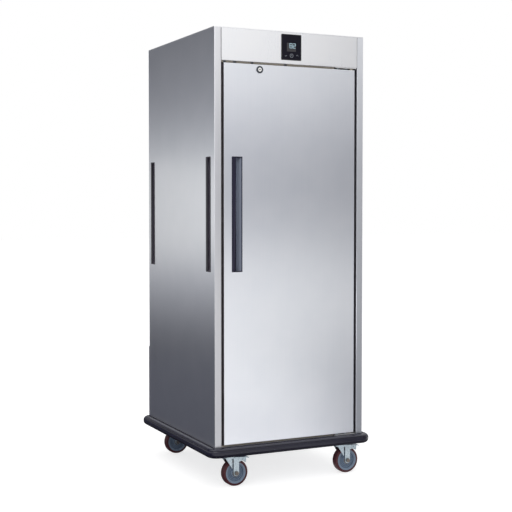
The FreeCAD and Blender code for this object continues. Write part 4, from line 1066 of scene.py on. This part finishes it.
# The cards behind shade the left side, and those in front and on the right the door and the posts. card_front_left
# and card_back_right shade the steel for other views.
SHADE = "#50515A"
BACK_FADE = (0.42, -0.13, 0.05)
CARDS: tuple[Card, ...] = (
    Card("card_back_high", (-1.45, 3.2, 2.94), 7.0, 3.0, 21.6,
         ((0.0, "#D8DADE"), (0.14, "#9A9BA2"), (0.5, "#3C3D44")), fade=BACK_FADE),
    Card("card_back_band", (-1.45, 3.21, 1.06), 7.0, 0.9, 21.6,
         ((0.0, "#D4D5D9"), (0.25, "#FFFFFF")), fade=BACK_FADE),
    Card("card_back_low", (-1.45, 3.2, 0.32), 7.0, 0.66, 21.6,
         ((0.0, SHADE), (0.35, "#74757C"), (0.65, "#A3A4AA"), (1.0, "#D2D3D8")), fade=BACK_FADE),
    Card("card_back_floor", (-1.6, 1.4, 0.004), 7.0, 4.4, 21.6, ((0.0, SHADE), (1.0, SHADE)), lean_deg=0.0),
    Card("card_front", (1.84, -4.4, 1.19), 5.0, 2.36, 27.4,
         ((0.0, "#FFFFFF"), (0.275, "#FFFFFF"), (0.372, "#BCBDC2"), (0.533, "#ACADB2"), (0.694, "#BEBFC4"),
          (0.823, "#EAEAEE"), (0.887, "#FFFFFF")), fade=(0.35, 0.04, 0.24)),
    # card_front_floor darkens towards the cart, a painted shadow of the cart on the floor as the door reflects it.
    Card("card_front_floor", (0.75, -1.35, 0.003), 3.0, 1.1, 25.5,
         ((0.0, "#FFFFFF"), (1.0, "#DEDEE2")), lean_deg=0.0),
    Card("card_front_left", (-3.6, -3.9, 1.25), 6.0, 2.5, -42.0,
         ((0.0, "#E4E4E8"), (0.25, "#FFFFFF"), (0.4, "#C6C7CC"), (0.6, "#ACADB3"), (0.8, "#C2C3C8"),
          (1.0, "#F4F4F6"))),
    Card("card_back_right", (3.6, 2.6, 1.3), 6.4, 2.6, -54.2,
         ((0.0, "#A2A3A9"), (0.3, "#E2E2E6"), (0.45, "#F6F6F8"), (0.65, "#BEBFC4"), (1.0, "#9C9DA3"))),
    Card("card_right", (4.6, -3.2, 1.2), 3.6, 2.6, 62.0, ((0.0, "#8A8B90"), (1.0, "#9C9DA2"))),
    Card("card_right_high", (3.8, -3.7, 2.8), 2.8, 1.3, 40.0, ((0.0, "#84858A"), (1.0, "#9A9BA0"))),
    Card("card_right_floor", (2.88, -2.40, 0.004), 3.0, 5.0, 25.5,
         ((0.0, "#707176"), (0.5, "#84858A"), (1.0, "#A6A7AC")), lean_deg=0.0),
)


@dataclass
class Studio:
    """The pale floor, white surround, soft lamps, reflection cards and camera.

    fill is how strongly the surround lights the cart. floor_glow is the light that the floor gives to glossy rays
    and to the camera. Each lamp has its name, place, size and power.
    """

    eye_mm: tuple[float, float, float] = (-1991.0, -4209.0, 1112.0)
    turn_deg: float = 25.55
    dip_deg: float = 2.13
    lens_mm: float = 76.22
    sensor_mm: float = 36.0
    rise: float = -0.02
    far_m: float = 200.0
    fill: float = 0.55
    floor_m: float = 60.0
    floor_paint: str = "#CACACA"
    floor_glow: tuple[float, float] = (0.54, 0.72)
    aim_m: tuple[float, float, float] = (0.0, 0.0, 0.9)
    lamps: tuple[tuple[str, tuple[float, float, float], float, float], ...] = (
        ("key_lamp", (-3.0, -3.6, 4.6), 4.0, 110.0), ("top_lamp", (0.6, 0.8, 5.2), 5.0, 60.0))

    def surround(self) -> None:
        """Makes a world that is white where it is seen and softer where it lights."""
        world = bpy.data.worlds.new("white_surround")
        bpy.context.scene.world = world
        tree = bare_tree(world)
        rays = add_node(tree, "LightPath").outputs
        seen = add_node(tree, "Math", {0: rays["Is Camera Ray"], 1: rays["Is Glossy Ray"]}, operation="MAXIMUM")
        seen = add_node(tree, "Math", {0: seen.outputs[0], 1: rays["Is Transmission Ray"]}, operation="MAXIMUM")
        strength = add_node(tree, "MapRange", {"Value": seen.outputs[0], "To Min": self.fill, "To Max": 1.0})
        sky = add_node(tree, "Background", {"Color": (1, 1, 1, 1), "Strength": strength.outputs[0]})
        add_node(tree, "OutputWorld", {"Surface": sky.outputs[0]})

    def floor(self) -> None:
        """Lays a pale floor that keeps the cart's shadow and is white elsewhere."""
        bpy.ops.object.select_all(action="DESELECT")
        bpy.ops.mesh.primitive_plane_add(size=self.floor_m)
        ground = bpy.context.object
        ground.name = "studio_floor"
        made = bpy.data.materials.new("pale_floor_paint")
        tree = bare_tree(made)
        rays = add_node(tree, "LightPath").outputs
        seen = add_node(tree, "Math", {0: rays["Is Camera Ray"], 1: rays["Is Glossy Ray"]}, operation="MAXIMUM")
        lift = add_node(tree, "MapRange", {"Value": rays["Is Camera Ray"], "To Min": self.floor_glow[0],
                                           "To Max": self.floor_glow[1]})
        lift = add_node(tree, "Math", {0: seen.outputs[0], 1: lift.outputs[0]}, operation="MULTIPLY")
        paint = add_node(tree, "BsdfPrincipled", {
            "Base Color": linear(self.floor_paint), "Roughness": 0.9, "Specular IOR Level": 0.0,
            "Emission Color": (1, 1, 1, 1), "Emission Strength": lift.outputs[0]})
        add_node(tree, "OutputMaterial", {"Surface": paint.outputs[0]})
        ground.data.materials.append(made)

    def light(self) -> None:
        """Hangs the soft lamps, aimed at the middle of the cart."""
        for name, place, size, power in self.lamps:
            lamp = bpy.data.lights.new(name, "AREA")
            lamp.size, lamp.energy = size, power
            holder = bpy.data.objects.new(name, lamp)
            holder.location = place
            holder.rotation_euler = (Vector(self.aim_m) - Vector(place)).to_track_quat("-Z", "Y").to_euler()
            holder.visible_camera = False
            bpy.context.scene.collection.objects.link(holder)

    def camera(self) -> None:
        """Sets the camera at the photograph's place, level of eye and lens."""
        view = bpy.data.cameras.new("photo_camera")
        view.lens, view.sensor_width, view.clip_end = self.lens_mm, self.sensor_mm, self.far_m
        view.shift_y = self.rise
        holder = bpy.data.objects.new("photo_camera", view)
        holder.location = Vector(self.eye_mm) * MM
        holder.rotation_euler = (math.radians(90 - self.dip_deg), 0, math.radians(-self.turn_deg))
        bpy.context.scene.collection.objects.link(holder)
        bpy.context.scene.camera = holder

    def build(self) -> None:
        """Sets up all of the studio."""
        self.surround()
        self.floor()
        self.light()
        for card in CARDS:
            card.build()
        self.camera()
        bpy.context.scene.view_settings.view_transform = "Standard"


def main() -> None:
    """Dresses every CAD node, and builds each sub-assembly's pieces and the studio."""
    logging.basicConfig(level=logging.INFO, format="%(name)s %(message)s")
    for node, slot in NODE_SLOT.items():
        repaint(node, SLOT_FINISH[slot])
    casters = [Caster(place) for place in ("front_left", "front_right", "rear_left", "rear_right")]
    for assembly in (Cabinet(), ControlUnit(), Door(), PushGrips(), *casters, Studio()):
        assembly.build()
        LOG.info("built %s", type(assembly).__name__)


if __name__ == "__main__":
    main()
